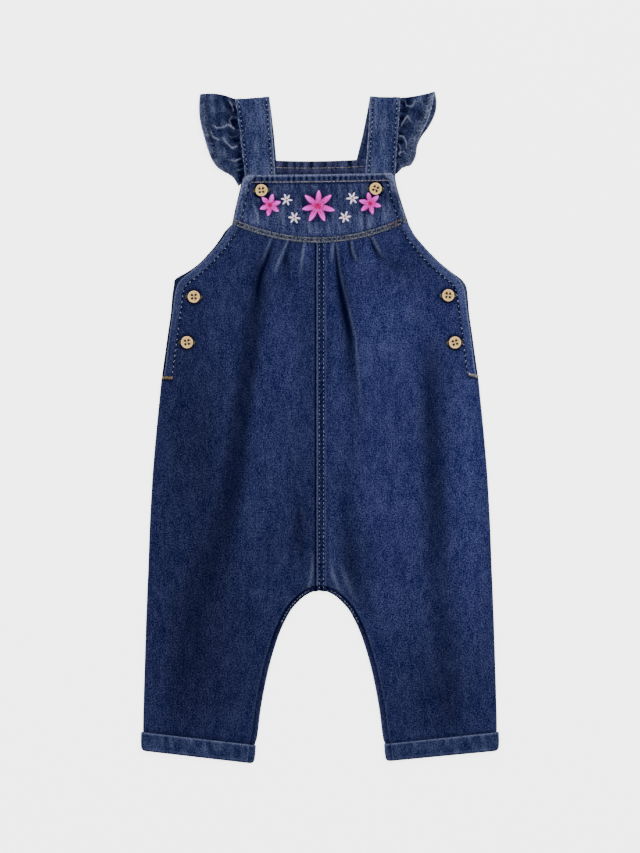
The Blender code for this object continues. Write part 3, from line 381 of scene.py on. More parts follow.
# Widths that the sewing keeps, from the edge or seam that each runs along
OPENING_END = (40, 46)
ARMHOLE_HEM = 8
ARMHOLE_STITCH = 7.2
SIDE_BAR = {"left": ((-138.4, 43.8), (-130, 43.6)), "right": ((130.9, 46.9), (139.2, 44.8))}
SIDE_BAR_THREADS = {"left": ("gold", 0.36), "right": ("pale", 0.34)}
CENTRE_LAP = 3.3
LAP_END = -143.5
JOIN = 0.35
RUFFLE_JOIN = 1
STRAP_JOIN = 1.3
CENTRE_BAND = 5
CENTRE_STITCHES = (-0.6, 3.2)
CENTRE_DARK = (-1.3, 3.8)
INSEAM_BAND = 4.4
INSEAM_STITCH = 4.6
YOKE_HEM = 6.6
YOKE_HEM_STITCH = 6.6
YOKE_SIDE_STITCH = 7.6
YOKE_SEAM_STITCHES = (1.15, 4.4)
YOKE_SEAM_BROWN = (61, 69.5)
NECK_STITCH = 6.2
STRAP_STITCH = 2.9
RUFFLE_HEM_STITCH = 5.2
CUFF_SEAM = 5.2

# Rows on the underside: their height over the floor, and how far each stitch sinks in its row
UNDER_STITCH = 0.22
SUNK_RISE = -0.12

# Embroidered flowers: centre, reach of the petals, half the width of a petal, petals, turn in
# degrees, strands across a petal; and a petal's width along it
DAISIES = (
    (-1.8, 194.4, 14.6, 2.2, 7, 88, 9), (-43.9, 195.4, 9.8, 1.9, 6, 20, 8),
    (44.1, 196.8, 10, 1.9, 6, 42, 8))
PETAL_WIDTHS = (
    (0, 0.5), (0.25, 0.86), (0.5, 1), (0.68, 0.9), (0.85, 0.56), (1, 0.12))
STARS = tuple((x, y, 5.2, 0.48, 6, turn, 3) for x, y, turn in (
    (-29.3, 200.1, -6), (-22.7, 184.3, -4), (28.4, 201.3, 8), (21.8, 184.8, 12)))

# Turned-up hems and shoulder turns in fine steps
CUFF_CORNER_POINTS = 7
CUFF_ROUND = 3.4
CUFF_FRONT_STEPS = 110
CUFF_BACK_STEPS = 50

# The backs' centre seam, seen from below: its ditch and its stitch rows; and how worn the backs'
# edges are, and how much painted shade they carry, where they show past the fronts at the armholes
BACK_DITCH = 4.4
BACK_CENTRE_STITCHES = (2.6, -1.4)
BACK_EDGE_WEAR = {"left": 0, "right": 0.45}
BACK_EDGE_SHADE = {"left": 0.6, "right": 0}

# Buttons: profile from the middle of the underside over the rim to the dished top, and holes
BUTTON_PROFILE = (
    (0, 0), (2.5, 0), (4.4, 0), (5.05, 0.22), (5.4, 0.7), (5.5, 1.2), (5.42, 1.65), (5.15, 2.1),
    (4.75, 2.36), (4.4, 2.36), (4.05, 2.14), (3.65, 1.88), (3.2, 1.73), (1.6, 1.68), (0, 1.66))
BUTTON_SEGMENTS = 48
# Tone of a button from the middle outwards, its wood's own tone with painted light: a painted
# highlight on the rim's top, painted shade inside the rim and at its outer edge: radius, tone
BUTTON_TONE_AND_LIGHT = (
    (0, 0.45), (3, 0.4), (3.65, -0.05), (4.05, 0.2), (4.4, 0.6), (4.75, 0.65), (5.1, 0.3),
    (5.35, -0.5), (5.5, -1))
# Painted shade in the holes, at their top rim and further down
HOLE_RIM_SHADE = -0.6
HOLE_SHADE = -1.5
BUTTON_CREASE_ANGLE = 42
HOLE_RADIUS = 1.05
HOLE_OFFSET = 1.5
HOLE_SEGMENTS = 16
BUTTONHOLE_HALF = 7.3
# Each button: its side, or none on the yoke, the tilt of its buttonhole and its own turn
BUTTONS = (
    ("button_yoke_left", None, 0.05, 0.1), ("button_yoke_right", None, 0, -0.35),
    ("button_side_left_1", "left", -0.06, 0.05), ("button_side_left_2", "left", 0, 0.15),
    ("button_side_right_1", "right", 0.08, -0.1), ("button_side_right_2", "right", 0.05, 0.3))

# Weave, and the colours of each denim, linear: dye of the dark warp and of the light picks, pale
# where worn and for painted highlight on crests, and the painted shade in deep folds, grooves and
# round buttons; then the strength of its flecks, slubs and clouds
THREADS_PER_MM = 2.5
DENIM_DYES = {
    "denim": (
        (0.0002, 0.0022, 0.036), (0.04, 0.047, 0.119), (0.09, 0.108, 0.18),
        (0.0001, 0.001, 0.014), 1, 0.7, 0.6),
    "yoke_denim": (
        (0.0012, 0.0046, 0.044), (0.074, 0.086, 0.19), (0.21, 0.235, 0.36),
        (0.0004, 0.0016, 0.018), 0.95, 1, 0.7),
    "strap_denim": (
        (0.0035, 0.0085, 0.05), (0.08, 0.095, 0.2), (0.24, 0.27, 0.39), (0.001, 0.003, 0.024),
        0.82, 1.2, 1),
    "ruffle_denim": (
        (0.0004, 0.0024, 0.028), (0.046, 0.058, 0.134), (0.24, 0.27, 0.38),
        (0.0001, 0.0008, 0.012), 0.95, 0.9, 1.2),
    "cuff_denim": (
        (0.0012, 0.004, 0.038), (0.039, 0.05, 0.118), (0.12, 0.14, 0.24), (0.0003, 0.0014, 0.016),
        1, 1, 1),
    "back_yoke_denim": (
        (0.0036, 0.0054, 0.037), (0.072, 0.079, 0.17), (0.17, 0.18, 0.28),
        (0.0008, 0.0016, 0.015), 1, 1, 1.2),
}

# Threads: colour and fuzz, linear; then roughness, sheen and gloss where they aren't the usual
THREAD_LOOKS = {
    "gold": ((0.34, 0.23, 0.085), (0.78, 0.58, 0.27)),
    "bronze": ((0.12, 0.105, 0.08), (0.38, 0.35, 0.32)),
    "stone": ((0.022, 0.025, 0.032), (0.215, 0.225, 0.26)),
    "russet": ((0.045, 0.032, 0.04), (0.2, 0.135, 0.135)),
    "olive": ((0.05, 0.055, 0.03), (0.25, 0.26, 0.15)),
    "beige": ((0.13, 0.12, 0.13), (0.26, 0.24, 0.23)),
    "ash": ((0.11, 0.125, 0.19), (0.32, 0.35, 0.5)),
    "dusk": ((0.034, 0.04, 0.062), (0.15, 0.165, 0.25)),
    "pale": ((0.6, 0.5, 0.4), (0.85, 0.78, 0.68)),
    "navy": ((0.0006, 0.0024, 0.02), (0.003, 0.007, 0.034), 0.8, 0, 0.02),
    "white": ((1, 0.84, 1), (1, 0.96, 1), 0.45),
    "rust": ((0.3, 0.03, 0.07), (0.5, 0.12, 0.18)),
    "crimson": ((0.42, 0, 0.1), (0.8, 0, 0.2), 0.5, 0, 0.05),
    "button": ((0.4, 0.22, 0.05), (0.7, 0.45, 0.14)),
}
# Heart, middle and tip of a petal; dark and light of the buttons' wood, for its grain and for its
# painted highlight and shade
PETAL_COLOURS = ((0.56, 0, 0.22), (0.8, 0.002, 0.58), (1, 0.2, 1))
WOOD_COLOURS = ((0.15, 0.052, 0.016), (1, 0.66, 0.27))

# Camera, floor and lights, in millimetres for the frame and metres for the lights
LENS = 130
SENSOR = 36
FRAME_LENGTH = 750.64
FRAME_MIDDLE = 0.88
FLOOR_REACH = 6000
FLOOR_HEIGHT = -0.3
FLOOR_LOW = (0.87, 0.875, 0.87)
FLOOR_HIGH = (0.89, 0.895, 0.89)
FLOOR_GLOW = 3.4
WORLD_STRENGTH = 0.65
LIGHTS = (
    ("key", (0.75, 1, 1.9), 1, 34),
    ("fill", (-1.1, -0.3, 2.2), 1.8, 21),
)


def clamp(value):
    """A value held between 0 and 1."""
    return np.clip(value, 0, 1)


def ease(value, start, end):
    """Ease from 0 to 1 as a value goes from start to end."""
    share = clamp((value - start) / (end - start))
    return share * share * (3 - 2 * share)


def read_sections(sections, stations):
    """Read a table at fractional row numbers, on smooth curves through its rows."""
    sections = np.asarray(sections, float)
    before = 2 * sections[0] - sections[1]
    after = 2 * sections[-1] - sections[-2]
    padded = np.vstack([before, sections, after])
    stations = np.clip(np.asarray(stations, float), 0, len(sections) - 1)
    first = np.minimum(stations.astype(int), len(sections) - 2)
    t = (stations - first)[:, None]
    a, b, c, d = (padded[first + step] for step in range(4))
    return 0.5 * (2 * b + (c - a) * t + (2 * a - 5 * b + 4 * c - d) * t ** 2
                  + (3 * b - a - 3 * c + d) * t ** 3)


def nearest_on_path(x, y, path):
    """Distance from each point to a path, and the path's further columns at the nearest place."""
    path = np.asarray(path, float)
    distance = np.full(x.shape, np.inf)
    columns = np.zeros(x.shape + (path.shape[1] - 2,))
    for start, end in zip(path[:-1], path[1:]):
        run = end[:2] - start[:2]
        t = ((x - start[0]) * run[0] + (y - start[1]) * run[1]) / (run @ run)
        t = clamp(t)
        reach = np.hypot(x - start[0] - t * run[0], y - start[1] - t * run[1])
        values = start[2:] + t[..., None] * (end[2:] - start[2:])
        columns = np.where((reach < distance)[..., None], values, columns)
        distance = np.minimum(reach, distance)
    return distance, columns


def fold_height(x, y, folds):
    """Sum of the soft ridges and troughs at each point."""
    total = np.zeros(x.shape)
    for path in folds.values():
        distance, columns = nearest_on_path(x, y, path)
        lift = columns[..., 0]
        width = columns[..., 1]
        total += lift * np.exp(-(distance / width) ** 2)
    return total


def lean(x, y):
    """The yoke sits a little higher at the right."""
    return YOKE_LEAN * x / YOKE_HALF_WIDTH * ease(y, *LEAN_BAND)


def above_cuff(x, y):
    """Height of a point above the turn-up's top edge, measured along the leg."""
    outer_x, outer_y, inner_x, inner_y = CUFF_SECTIONS["left"][0]
    share = (np.abs(x) - inner_x) / (outer_x - inner_x)
    return y - inner_y - share * (outer_y - inner_y)


def front_ramp(x, y):
    """How fully the front stands off the back: little at its edges, fully further in."""
    side = np.vstack([YOKE_SECTIONS[1:-1, (0, 2)], HALF_SECTIONS[:, :2]])
    arch = HALF_SECTIONS[CROTCH_SECTION:, 2:4]
    to_side, _ = nearest_on_path(np.abs(x), y, side)
    to_arch, _ = nearest_on_path(np.abs(x), y, arch)
    at_edge = YOKE_EDGE_SHARE * ease(y, *EDGE_BAND)
    width = BODY_RISE + (YOKE_RISE - BODY_RISE) * ease(y, *RISE_BAND)
    side_ramp = at_edge + (1 - at_edge) * ease(to_side, 0, width)
    arch_ramp = INSEAM_EDGE_SHARE + (1 - INSEAM_EDGE_SHARE) * ease(to_arch, 0, INSEAM_RISE)
    return side_ramp * arch_ramp


def back_rise(x, y):
    """The leg's back climbs over the turn-up's lower wall."""
    return (CUFF_CLOTH + SEAM_GAP) * (1 - ease(above_cuff(x, y), *BACK_DESCENT))


def front_lift(x, y):
    """Gap between front and back, less the seam gap, with the folds and gathers in it."""
    base = BODY_LIFT + (YOKE_LIFT - BODY_LIFT) * ease(y, *LIFT_BAND)
    lift = np.maximum(base + fold_height(x, y, FRONT_FOLDS), LEAST_LIFT)
    lift = MOST_LIFT * np.tanh(lift / MOST_LIFT)
    return lift * front_ramp(x, y) * ease(above_cuff(x, y), *FOLD_ONSET)


def front_under(x, y):
    """Underside of the fronts."""
    return FRONT_REST + back_rise(x, y) + front_lift(x, y)


def yoke_under(x, y):
    """Underside of the front yoke: level over the straps, lower at its sides."""
    return FRONT_REST + YOKE_LIFT * front_ramp(x, y)


def waves(along, size, seed):
    """Smooth uneven waves along a line, between about -1 and 1, of about the given length."""
    draw = np.random.default_rng(seed)
    total = np.zeros(np.shape(along))
    for _ in range(5):
        length = size * draw.uniform(0.65, 1.7)
        total += np.sin(TURN * np.asarray(along) / length + draw.uniform(0, TURN))
    return total / 2.6


def swells(x, y, size_x, size_y, seed):
    """Smooth uneven swells over a surface, between about -1 and 1."""
    draw = np.random.default_rng(seed)
    total = np.zeros(np.broadcast(x, y).shape)
    for _ in range(7):
        angle = draw.uniform(0, TURN)
        length = draw.uniform(0.7, 1.6)
        reach = x * cos(angle) / size_x + y * sin(angle) / size_y
        total += np.sin(TURN * reach / length + draw.uniform(0, TURN))
    return total / 3.2


def bump(distance, place, width):
    """A rounded bump, 1 high, at a distance from an edge."""
    return np.exp(-((distance - place) / width) ** 2)


def button_ring(x, y, buttons):
    """The shade in the cloth round each button."""
    return sum(bump(np.hypot(x - at_x, y - at_y), *BUTTON_RING)
               for at_x, at_y in buttons.values())


def inside(distance, start, end):
    """1 nearer than start, easing to 0 at end."""
    return 1 - ease(distance, start, end)


def rolled(distance):
    """How far a cloth's face rounds down as it comes near its folded edge."""
    near = ROLL - np.clip(distance, 0, ROLL)
    return ROLL - np.sqrt(np.maximum(ROLL * ROLL - near * near, 0))


def with_run(points):
    """Points of a path with the length along it as a third column."""
    steps = np.hypot(*np.diff(points[:, :2], axis=0).T)
    return np.column_stack([points[:, :2], np.concatenate([[0], np.cumsum(steps)])])


def inset(path, distance):
    """A path moved sideways, to the right of the way it runs."""
    way = np.gradient(path[:, :2], axis=0)
    way /= np.linalg.norm(way, axis=1, keepdims=True)
    return path[:, :2] + distance * way[:, ::-1] * (1, -1)


def even_stations(places, spacing):
    """Fractional row numbers at an even spacing along a table's places."""
    places = np.asarray(places, float)
    run = np.concatenate([[0], np.cumsum(np.linalg.norm(np.diff(places, axis=0), axis=1))])
    count = int(round(run[-1] / spacing)) + 1
    return np.interp(np.linspace(0, run[-1], count), run, np.arange(len(places)))


def shares_across(width, middle_step, edge_step=0.7, edge=10):
    """Shares from 0 to 1 over a width, closer together near its two edges."""
    near = np.arange(1.2, edge, edge_step)
    middle = np.linspace(edge, width / 2, int((width / 2 - edge) / middle_step) + 2)
    half = np.concatenate([ROLL_STEPS, near, middle])
    return np.concatenate([half, width - half[-2::-1]]) / width


def side_outline(side, back=False):
    """Outer edge of a front or back, as if it were the half at positive x, with its length."""
    rows = read_sections(HALF_SECTIONS, np.linspace(0, len(HALF_SECTIONS) - 1, 190))
    x, y, _, _, _, right_out, left_back, right_back = rows.T
    out = right_out if side > 0 else 0
    if back:
        out = out + (right_back if side > 0 else left_back)
    return with_run(np.column_stack([x + out, y]))


def inseam_outline():
    """Inner edge of a leg from the crotch to the hem, as if at positive x, with its length."""
    stations = np.linspace(CROTCH_SECTION, len(HALF_SECTIONS) - 1, 70)
    rows = read_sections(HALF_SECTIONS, stations)
    return with_run(np.column_stack([np.maximum(rows[:, 2], 0), rows[:, 3]]))


def half_place(x, y, side):
    """Places on either half as places on the half at positive x."""
    return side * x, y - lean(x, y)


def front_sewing(x, y, key):
    """Height, wear with painted highlights, painted shade, and lighter and darker colour that hems,
    seams, creases and folds give a front; and its edge.
    """
    side = SIDES[key]
    px, py = half_place(x, y, side)
    to_edge, edge_run = nearest_run(px, py, SIDE_OUTLINES[side])
    to_arch, arch_run = nearest_run(px, py, INSEAM_OUTLINE)
    opening = ease(py, *OPENING_END)
    body = ease(py, *CROTCH_BAND)
    seed = FRONT_SEEDS[key]

    rope = waves(edge_run + 0.8 * to_edge, 6, seed)
    hem = 0.42 * inside(to_edge, ARMHOLE_HEM - 1.2, ARMHOLE_HEM + 0.4)
    hem += 0.16 * rope * bump(to_edge, 4, 3.4)
    hem -= 0.26 * bump(to_edge, ARMHOLE_STITCH, 0.6)
    height = hem * opening

    arch_rope = waves(arch_run + to_arch, 6.5, seed + 1)
    band = 0.36 * inside(to_arch, INSEAM_BAND - 0.8, INSEAM_BAND + 0.8)
    band += 0.26 * arch_rope * bump(to_arch, 2.4, 2.4)
    band -= 0.2 * bump(to_arch, INSEAM_STITCH, 0.6)
    height += band * inside(py, -143, -137)

    fine = fold_height(x, y, FINE_CREASES)
    settled = front_ramp(x, y)
    height += fine * np.maximum(settled, 0.35)
    height += 0.13 * swells(x, y, 26, 44, seed + 2) * settled
    height += 0.05 * swells(x, y, 8, 13, seed + 3) * settled

    rows_between = waves(y, 3.9, 5) * body
    if side > 0:
        lap = 0.62 * inside(x, CENTRE_BAND - 0.5, CENTRE_BAND + 0.8)
        for row in CENTRE_STITCHES:
            lap -= 0.16 * bump(x, row, 0.55)
        lap += 0.12 * rows_between * inside(x, CENTRE_BAND - 1, CENTRE_BAND + 1.5)
    else:
        lap = -0.85 * ease(x, -CENTRE_LAP - 2.2, -CENTRE_LAP + 0.2) * np.maximum(settled, 0.25)
        lap += 0.1 * rows_between * bump(x, -CENTRE_LAP - 3.5, 2.5)
    height += lap * body

    # Paler at the edges and on the rope's crests: wear, with painted highlight on the edges
    wear = inside(to_edge, 0.3, 1.5) * (0.35 + 0.65 * opening)
    wear += 0.25 * clamp(rope) * bump(to_edge, 4.6, 3) * opening
    wear += 0.2 * ease(py, 60, 130) * inside(to_edge, ARMHOLE_STITCH - 1.5, ARMHOLE_STITCH)
    wear += 0.9 * inside(to_arch, 0.1, 1.3) + 0.25 * bump(to_arch, 5.8, 0.7)
    wear += 0.35 * clamp(arch_rope) * inside(to_arch, 2.5, 4.5)
    # Paler on the fine creases' crests: wear and painted highlight
    wear += 1.8 * clamp(fine)
    # Painted shade beside the armhole and inseam stitch rows, and in the inseam rope's troughs
    deep = 0.35 * bump(to_edge, ARMHOLE_STITCH + 0.3, 1.3) * opening
    deep += 0.45 * bump(to_arch, 3.6, 1.3)
    deep += 0.5 * clamp(-arch_rope) * inside(to_arch, 3, 6) * ease(py, -185, -160)
    deep += 0.45 * inside(to_arch, 4.2, 5.8) * ease(py, -230, -165)
    # Painted shade in the fine creases' troughs and round the buttons
    deep += 0.95 * (clamp(-fine) + button_ring(x, y, SIDE_BUTTONS))
    # Painted shadow just below each side bar tack
    to_bar, _ = nearest_on_path(x, y + 2.3, np.column_stack([SIDE_BAR[key], (0, 0)]))
    deep += 0.9 * bump(to_bar, 0, 1)
    # Painted shade just above the turn-up
    deep += 0.45 * inside(above_cuff(x, y), 0.5, 6)
    if side > 0:
        start, end = CENTRE_DARK
        banded = ease(x, start - 0.5, start + 0.5) * inside(x, end - 0.4, end + 0.4)
        # Pale line on the lap's felled edge: wear and painted highlight
        wear += 0.7 * bump(x, -CENTRE_LAP + 0.9, 0.6) * body
        wear += 0.35 * bump(x, end + 1, 0.5) * body
        deep += (0.55 + 0.35 * swells(x, y, 3, 3.8, 9)) * banded * body
        # Painted shade where the lap's edge steps down
        deep += 0.25 * bump(x, CENTRE_BAND + 1.6, 0.9) * body
    else:
        # Painted shade in the ditch under the lapped edge
        deep += bump(x, -CENTRE_LAP - 0.7, 0.9) * body
    # Painted shade in the folds' troughs and painted light on their crests, less of it in the legs
    folded = np.clip(FOLD_TONE * fold_height(x, y, FRONT_FOLDS), *FOLD_TONE_LIMITS) * settled
    folded *= 1 - LEG_FOLD_SHARE * inside(y, -150, -60)
    deep += FOLD_SHADE * clamp(-folded)
    fade = 1 + np.where(folded < 0, FOLD_SHADE_DIMMING, 1) * folded
    near_hem = inside(to_edge, ARMHOLE_STITCH - 1.2, ARMHOLE_STITCH)
    fade *= 1 + (0.08 + 0.14 * ease(py, 70, 130)) * opening * near_hem
    fade *= FRONT_TONE[key]
    for patch_x, patch_y, paler, reach_x, reach_y in COLOUR_PATCHES:
        away = ((x - patch_x) / reach_x) ** 2 + ((y - patch_y) / reach_y) ** 2
        fade *= 1 + paler * np.exp(-away)
    edge = np.clip(np.minimum(to_edge, to_arch), 0, None)
    return height, wear, deep, fade, edge, 1 - opening


def front_top(x, y, key):
    """Height of a front's face."""
    return front_under(x, y) + CLOTH + front_sewing(x, y, key)[0]


def nearest_run(x, y, outline):
    """Distance from each point to an outline, and the length along it at the nearest place."""
    distance, columns = nearest_on_path(x, y, outline)
    return distance, columns[..., 0]


def yoke_outlines(sections):
    """Top, bottom, left and right edges of a yoke."""
    plan = np.stack(yoke_plan(sections, 60, 120), axis=2)
    return [with_run(edge) for edge in (plan[0], plan[-1], plan[:, 0], plan[:, -1])]


def yoke_sewing(x, y):
    """Height, wear with painted highlights, and painted shade that the hem, seam, stitches, creases,
    flowers and buttons give the front yoke.
    """
    (to_top, top_run), (to_seam, seam_run), (to_left, left_run), (to_right, right_run) = (
        nearest_run(x, y, outline) for outline in YOKE_OUTLINES)
    to_side = np.minimum(to_left, to_right)
    side_run = np.where(to_left < to_right, left_run, right_run)
    pinch = waves(top_run, 3.5, 21)
    seam_pinch = waves(seam_run, 5.6, 22)
    side_rope = waves(side_run + to_side, 6, 23)
    height = 0.34 * inside(to_top, YOKE_HEM - 1, YOKE_HEM + 0.6)
    height += 0.3 * pinch * bump(to_top, 4.2, 3)
    height -= 0.34 * bump(to_top, YOKE_HEM_STITCH, 0.7)
    height += 0.3 * inside(to_side, YOKE_SIDE_STITCH - 0.8, YOKE_SIDE_STITCH + 0.8)
    height += 0.16 * side_rope * bump(to_side, 4, 3.2)
    height -= 0.22 * bump(to_side, YOKE_SIDE_STITCH, 0.7)
    height += 0.42 * inside(to_seam, 5.2, 6.6)
    for row in YOKE_SEAM_STITCHES:
        height -= 0.2 * bump(to_seam, row, 0.6)
    height += 0.12 * seam_pinch * bump(to_seam, 3, 3)
    face = ease(to_top, 7, 10) * ease(to_seam, 6, 9)
    height += 0.16 * swells(x, y, 9, 60, 24) * face
    height += 0.09 * swells(x, y, 5, 16, 25) * face
    creases = fold_height(x, y, YOKE_CREASES)
    height += 0.5 * creases * ease(to_seam, 5.5, 7)
    # Paler along the top and side edges: wear and painted highlight
    wear = bump(to_top, 1, 0.8) + bump(to_side, 1.6, 0.7)
    wear += 0.35 * clamp(pinch) * inside(to_top, 5, 7.5)
    wear += 0.4 * clamp(side_rope) * inside(to_side, 5, 8)
    wear += 0.3 * inside(to_side, 4.5, 7) * ease(y, 200, 212)
    # Paler on the creases' crests: wear and painted highlight
    wear += clamp(creases) * ease(to_seam, 5, 7)
    wear += 0.22 * clamp(swells(x, y, 4, 26, 26)) * face
    # Painted shade in the hem's puckers and below its stitches, at the sides and in crease troughs
    deep = (0.42 + clamp(-pinch)) * bump(to_top, 3.9, 2)
    deep *= ease(to_side, 4, 9)
    deep += 0.75 * bump(to_top, YOKE_HEM_STITCH + 1.5, 0.9) * ease(to_side, 5, 8)
    deep += 0.6 * inside(to_side, 0.4, 1.1) + 0.7 * clamp(-creases)
    deep += 0.45 * bump(to_side, YOKE_SIDE_STITCH, 1.3)
    # Painted shade between and beside the seam's stitch rows, and at the seam
    deep += 0.75 * bump(to_seam, sum(YOKE_SEAM_STITCHES) / 2, 0.7)
    deep += 0.5 * bump(to_seam, YOKE_SEAM_STITCHES[1] + 1.5, 0.8)
    deep += 0.6 * inside(to_seam, 0, 0.8)
    wear += 0.5 * clamp(swells(x, y, 4, 3, 27)) * inside(to_seam, 4.8, 5.6)
    # Painted shadow of each flower, cast to its lower left
    for daisy_x, daisy_y, reach in (row[:3] for row in DAISIES):
        away = np.hypot(x - daisy_x + 0.8, y - daisy_y + 0.8)
        deep += 0.5 * inside(away, 0.7 * reach, 1.2 * reach)
    deep += 0.3 * clamp(-swells(x, y, 4, 26, 26)) * face
    deep += 0.3 * bump(y, *YOKE_BAND) * ease(x, *YOKE_BAND_START) * face
    deep += 0.95 * button_ring(x, y, YOKE_BUTTONS)
    edge = np.minimum(to_top, to_side)
    return height, wear, deep, edge


def yoke_top(x, y):
    """Height of the front yoke's face."""
    return yoke_under(x, y) + YOKE_CLOTH + yoke_sewing(x, y)[0]


def open_group(name, kind, takes, gives):
    """A node group with named sockets; returns it with its input and output nodes."""
    tree = bpy.data.node_groups.new(name, kind)
    for label, socket_type, *value in takes:
        socket_type = "NodeSocket" + socket_type
        made = tree.interface.new_socket(label, in_out="INPUT", socket_type=socket_type)
        if value:
            made.default_value = value[0]
    for label, socket_type in gives:
        tree.interface.new_socket(label, in_out="OUTPUT", socket_type="NodeSocket" + socket_type)
    return tree, tree.nodes.new("NodeGroupInput").outputs, tree.nodes.new("NodeGroupOutput")


def feed(tree, node, values):
    """Give a node's inputs numbers, or the sockets or nodes that feed them."""
    for label, value in values.items():
        if isinstance(value, bpy.types.Node):
            value = value.outputs[0]
        if isinstance(value, bpy.types.NodeSocket):
            tree.links.new(value, node.inputs[label])
        else:
            node.inputs[label].default_value = value


def add(tree, kind, values=None, **settings):
    """A node with its settings and the values that feed it."""
    made = tree.nodes.new(kind)
    for label, value in settings.items():
        setattr(made, label, value)
    feed(tree, made, values or {})
    return made


def calc(tree, operation, *values):
    """A Math node's result."""
    return add(tree, "ShaderNodeMath", dict(enumerate(values)), operation=operation).outputs[0]


def blend(tree, share, first, second):
    """Two colours mixed; a share past 1 goes on beyond the second."""
    values = {0: share, 6: first, 7: second}
    return add(tree, "ShaderNodeMix", values, data_type="RGBA", clamp_factor=False).outputs[2]


def noise(tree, vector, scale, detail=2, roughness=0.5, dimensions="3D"):
    """A noise texture's value."""
    values = {"Vector": vector, "Scale": scale, "Detail": detail, "Roughness": roughness}
    return add(tree, "ShaderNodeTexNoise", values, noise_dimensions=dimensions).outputs[0]


def stretched(tree, vector, factors):
    """A vector times a number on each axis."""
    return add(tree, "ShaderNodeVectorMath", {0: vector, 1: factors}, operation="MULTIPLY")


def bumped(tree, height, strength, distance=0.0001):
    """A surface's normal from a height."""
    values = {"Strength": strength, "Distance": distance, "Height": height}
    return add(tree, "ShaderNodeBump", values)


def centred(tree, value, gain):
    """A noise value moved to lie round zero and made stronger."""
    return calc(tree, "MULTIPLY", calc(tree, "SUBTRACT", value, 0.5), gain)


def make_weave_group():
    """Denim: pale picks crossing dark warp in a twill, with flecks, slubs, wear and painted
    highlights, painted shade in deep folds, and its colour made lighter and darker.
    """
    tree, take, result = open_group("denim_weave", "ShaderNodeTree", (
        ("Cloth", "Vector"), ("Dark", "Color"), ("Light", "Color"), ("Pale", "Color"),
        ("Shade", "Color"), ("Wear", "Float", 0), ("Deep", "Float", 0), ("Fade", "Float", 1),
        ("Fleck", "Float", 1), ("Slub", "Float", 1), ("Cloud", "Float", 1)),
        (("Color", "Color"), ("Roughness", "Float"), ("Height", "Float")))
    cloth = take["Cloth"]
    parts = add(tree, "ShaderNodeSeparateXYZ", {0: cloth})
    across = calc(tree, "MULTIPLY", parts.outputs[0], THREADS_PER_MM)
    along = calc(tree, "MULTIPLY", parts.outputs[1], THREADS_PER_MM)
    end = calc(tree, "FLOOR", across)
    pick = calc(tree, "FLOOR", along)
    step = calc(tree, "FLOORED_MODULO", calc(tree, "SUBTRACT", end, pick), 3)
    under = calc(tree, "LESS_THAN", step, 0.5)
    cell = add(tree, "ShaderNodeCombineXYZ", {0: end, 1: pick})
    own = add(tree, "ShaderNodeTexWhiteNoise", {"Vector": cell}, noise_dimensions="2D").outputs[0]
    slub_place = stretched(tree, cloth, (1.3, 0.22, 1))
    tall = stretched(tree, cloth, (1, 0.38, 1))
    moved = add(tree, "ShaderNodeVectorMath", {0: cloth, 1: (37.3, 61.7, 0)})
    grain = noise(tree, moved, 1.7, 1, 0.5, "2D")
    fleck = noise(tree, cloth, 0.82, 2, 0.6, "2D")
    coarse = noise(tree, tall, 0.17, 2, 0.6, "2D")
    slub = noise(tree, slub_place, 0.8, 1, 0.5, "2D")
    cloud = noise(tree, tall, 0.06, 3, 0.6, "2D")
    flecks = calc(tree, "ADD", centred(tree, fleck, 2.6), centred(tree, grain, 1.9))
    flecks = calc(tree, "ADD", flecks, centred(tree, own, 1))
    tone = calc(tree, "MULTIPLY", flecks, take["Fleck"])
    slubs = calc(tree, "MULTIPLY", centred(tree, slub, 1), take["Slub"])
    clouds = calc(tree, "MULTIPLY", centred(tree, cloud, 1), take["Cloud"])
    tone = calc(tree, "ADD", tone, slubs)
    tone = calc(tree, "ADD", tone, clouds)
    tone = calc(tree, "ADD", tone, centred(tree, coarse, 0.8))
    picks = calc(tree, "MULTIPLY", under, calc(tree, "MULTIPLY_ADD", own, 0.5, 0.25))
    tone = calc(tree, "ADD", tone, picks)
    tone = calc(tree, "MAXIMUM", calc(tree, "ADD", tone, 0.2), 0)
    tone = calc(tree, "MINIMUM", tone, 1.7)
    coloured = blend(tree, tone, take["Dark"], take["Light"])
    # Paler where worn and where painted highlights fall on crests and edges
    rubbed_and_lit = calc(tree, "MULTIPLY_ADD", fleck, 2.2, -0.45)
    rubbed_and_lit = calc(tree, "MULTIPLY", rubbed_and_lit, take["Wear"])
    rubbed_and_lit = add(tree, "ShaderNodeClamp", {0: rubbed_and_lit}).outputs[0]
    coloured = blend(tree, rubbed_and_lit, coloured, take["Pale"])
    # Colour made lighter and darker: painted shade in fold troughs, painted light on crests, patches
    coloured = add(tree, "ShaderNodeVectorMath", {0: coloured, "Scale": take["Fade"]}, operation="SCALE")
    # Blend to the shade colour: painted shade in folds, grooves and round buttons, and dark mottles
    coloured = blend(tree, take["Deep"], coloured.outputs[0], take["Shade"])
    rib = calc(tree, "ABSOLUTE", calc(tree, "SINE", calc(tree, "MULTIPLY", across, pi)))
    crossing = calc(tree, "SUBTRACT", 1, calc(tree, "MULTIPLY", under, 0.6))
    height = calc(tree, "MULTIPLY", rib, crossing)
    height = calc(tree, "MULTIPLY_ADD", fleck, 0.9, height)
    rough = calc(tree, "MULTIPLY_ADD", fleck, -0.15, 0.98)
    feed(tree, result, {"Color": coloured, "Roughness": rough, "Height": height})
    return tree


